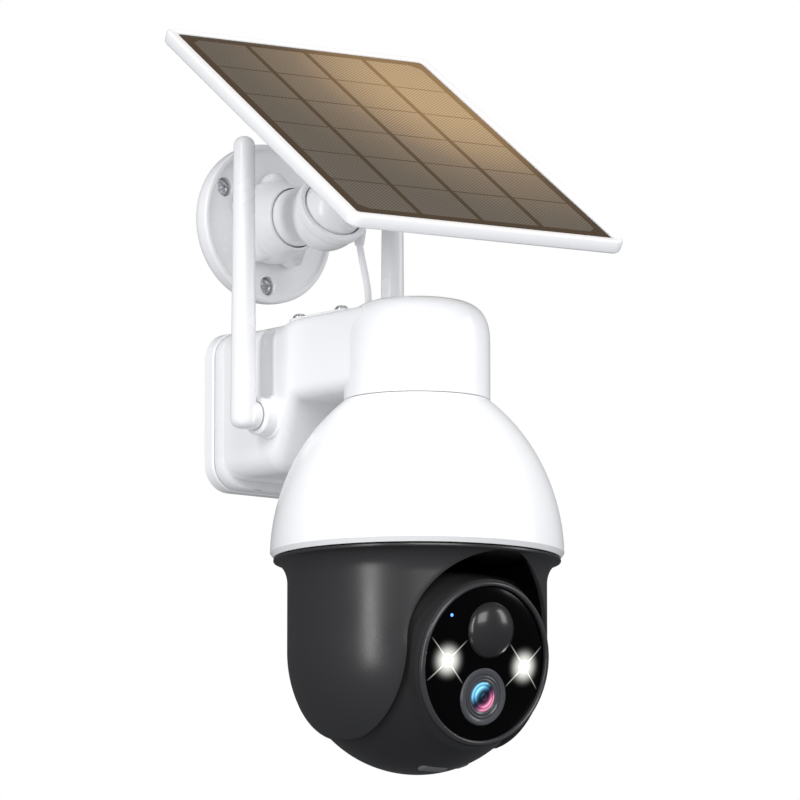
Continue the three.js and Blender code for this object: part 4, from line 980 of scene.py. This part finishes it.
# %% Floor
floor_size, floor_z = 9.0, -2.3
floor_mesh = bpy.data.meshes.new("floor")
corners = np.array([(-1, -1), (1, -1), (1, 1), (-1, 1)]) * floor_size
floor_mesh.from_pydata(np.hstack([corners, np.full((4, 1), floor_z)]), [], [(0, 1, 2, 3)])
floor = bpy.data.objects.new("floor", floor_mesh)
# matt painted board: pale and even, with no highlight
pale_floor = finish("pale_floor", "#f2f2f2", 0.6, 3.0, 0.02,
                    Emission_Color=srgb("#ffffff"), Emission_Strength=0.45)
floor_mesh.materials.append(pale_floor)
bpy.context.scene.collection.objects.link(floor)
floor.visible_glossy = False  # keeps the undersides of the dark parts dark
floor.visible_diffuse = False
print("floor at", floor_z, "m")

# %% [markdown]
# ## Light
# A product studio has soft boxes and a bright surround. The sky is white to the eye, even and mild
# as a fill, and dark in reflections, so that only the soft boxes show in the glossy parts.

# %% Sky and soft boxes
bpy.context.scene.view_settings.view_transform = "Standard"
world = bpy.data.worlds.new("studio")
bpy.context.scene.world = world
world.use_nodes = True
tree = world.node_tree
tree.nodes.clear()
rays = node(tree, "ShaderNodeLightPath")
seen = node(tree, "ShaderNodeBackground", {"Color": srgb("#ffffff"), "Strength": 1.0})
fill = node(tree, "ShaderNodeBackground", {"Color": srgb("#f4f6fa"), "Strength": 0.56})
gloss = node(tree, "ShaderNodeBackground", {"Color": srgb("#e8eaee"), "Strength": 0.1})
soft_or_gloss = node(tree, "ShaderNodeMixShader", {
    0: rays.outputs["Is Glossy Ray"], 1: fill.outputs[0], 2: gloss.outputs[0]})
all_rays = node(tree, "ShaderNodeMixShader", {
    0: rays.outputs["Is Camera Ray"], 1: soft_or_gloss.outputs[0], 2: seen.outputs[0]})
node(tree, "ShaderNodeOutputWorld", {"Surface": all_rays.outputs[0]})


def soft_box(name, place, target, width, height, watts, color="#ffffff"):
    """A rectangular light at a place in metres, turned to face a target."""
    data = bpy.data.lights.new(name, "AREA")
    data.shape = "RECTANGLE"
    data.size, data.size_y = width, height
    data.energy = watts
    data.color = srgb(color)[:3]
    light = bpy.data.objects.new(name, data)
    light.location = place
    way = np.array(target) - np.array(place)
    flat = math.hypot(way[0], way[1])
    light.rotation_euler = (math.pi / 2 + math.atan2(way[2], flat), 0, math.atan2(-way[0], way[1]))
    bpy.context.scene.collection.objects.link(light)


middle = (0, -0.09, 0)
soft_box("key", (-0.75, -1.75, 0.95), middle, 1.4, 1.4, 28)
soft_box("right_box", (1.2, -1.0, 0.55), middle, 0.5, 0.9, 6)
soft_box("left_strip", (-1.55, -0.36, 0.25), middle, 0.25, 1.6, 12)
soft_box("warm_card", (0.62, 0.45, 0.85), (0.04, -0.11, 0.1), 0.5, 0.5, 0.25, "#ffc98a")
print("lights:", len(bpy.data.lights))
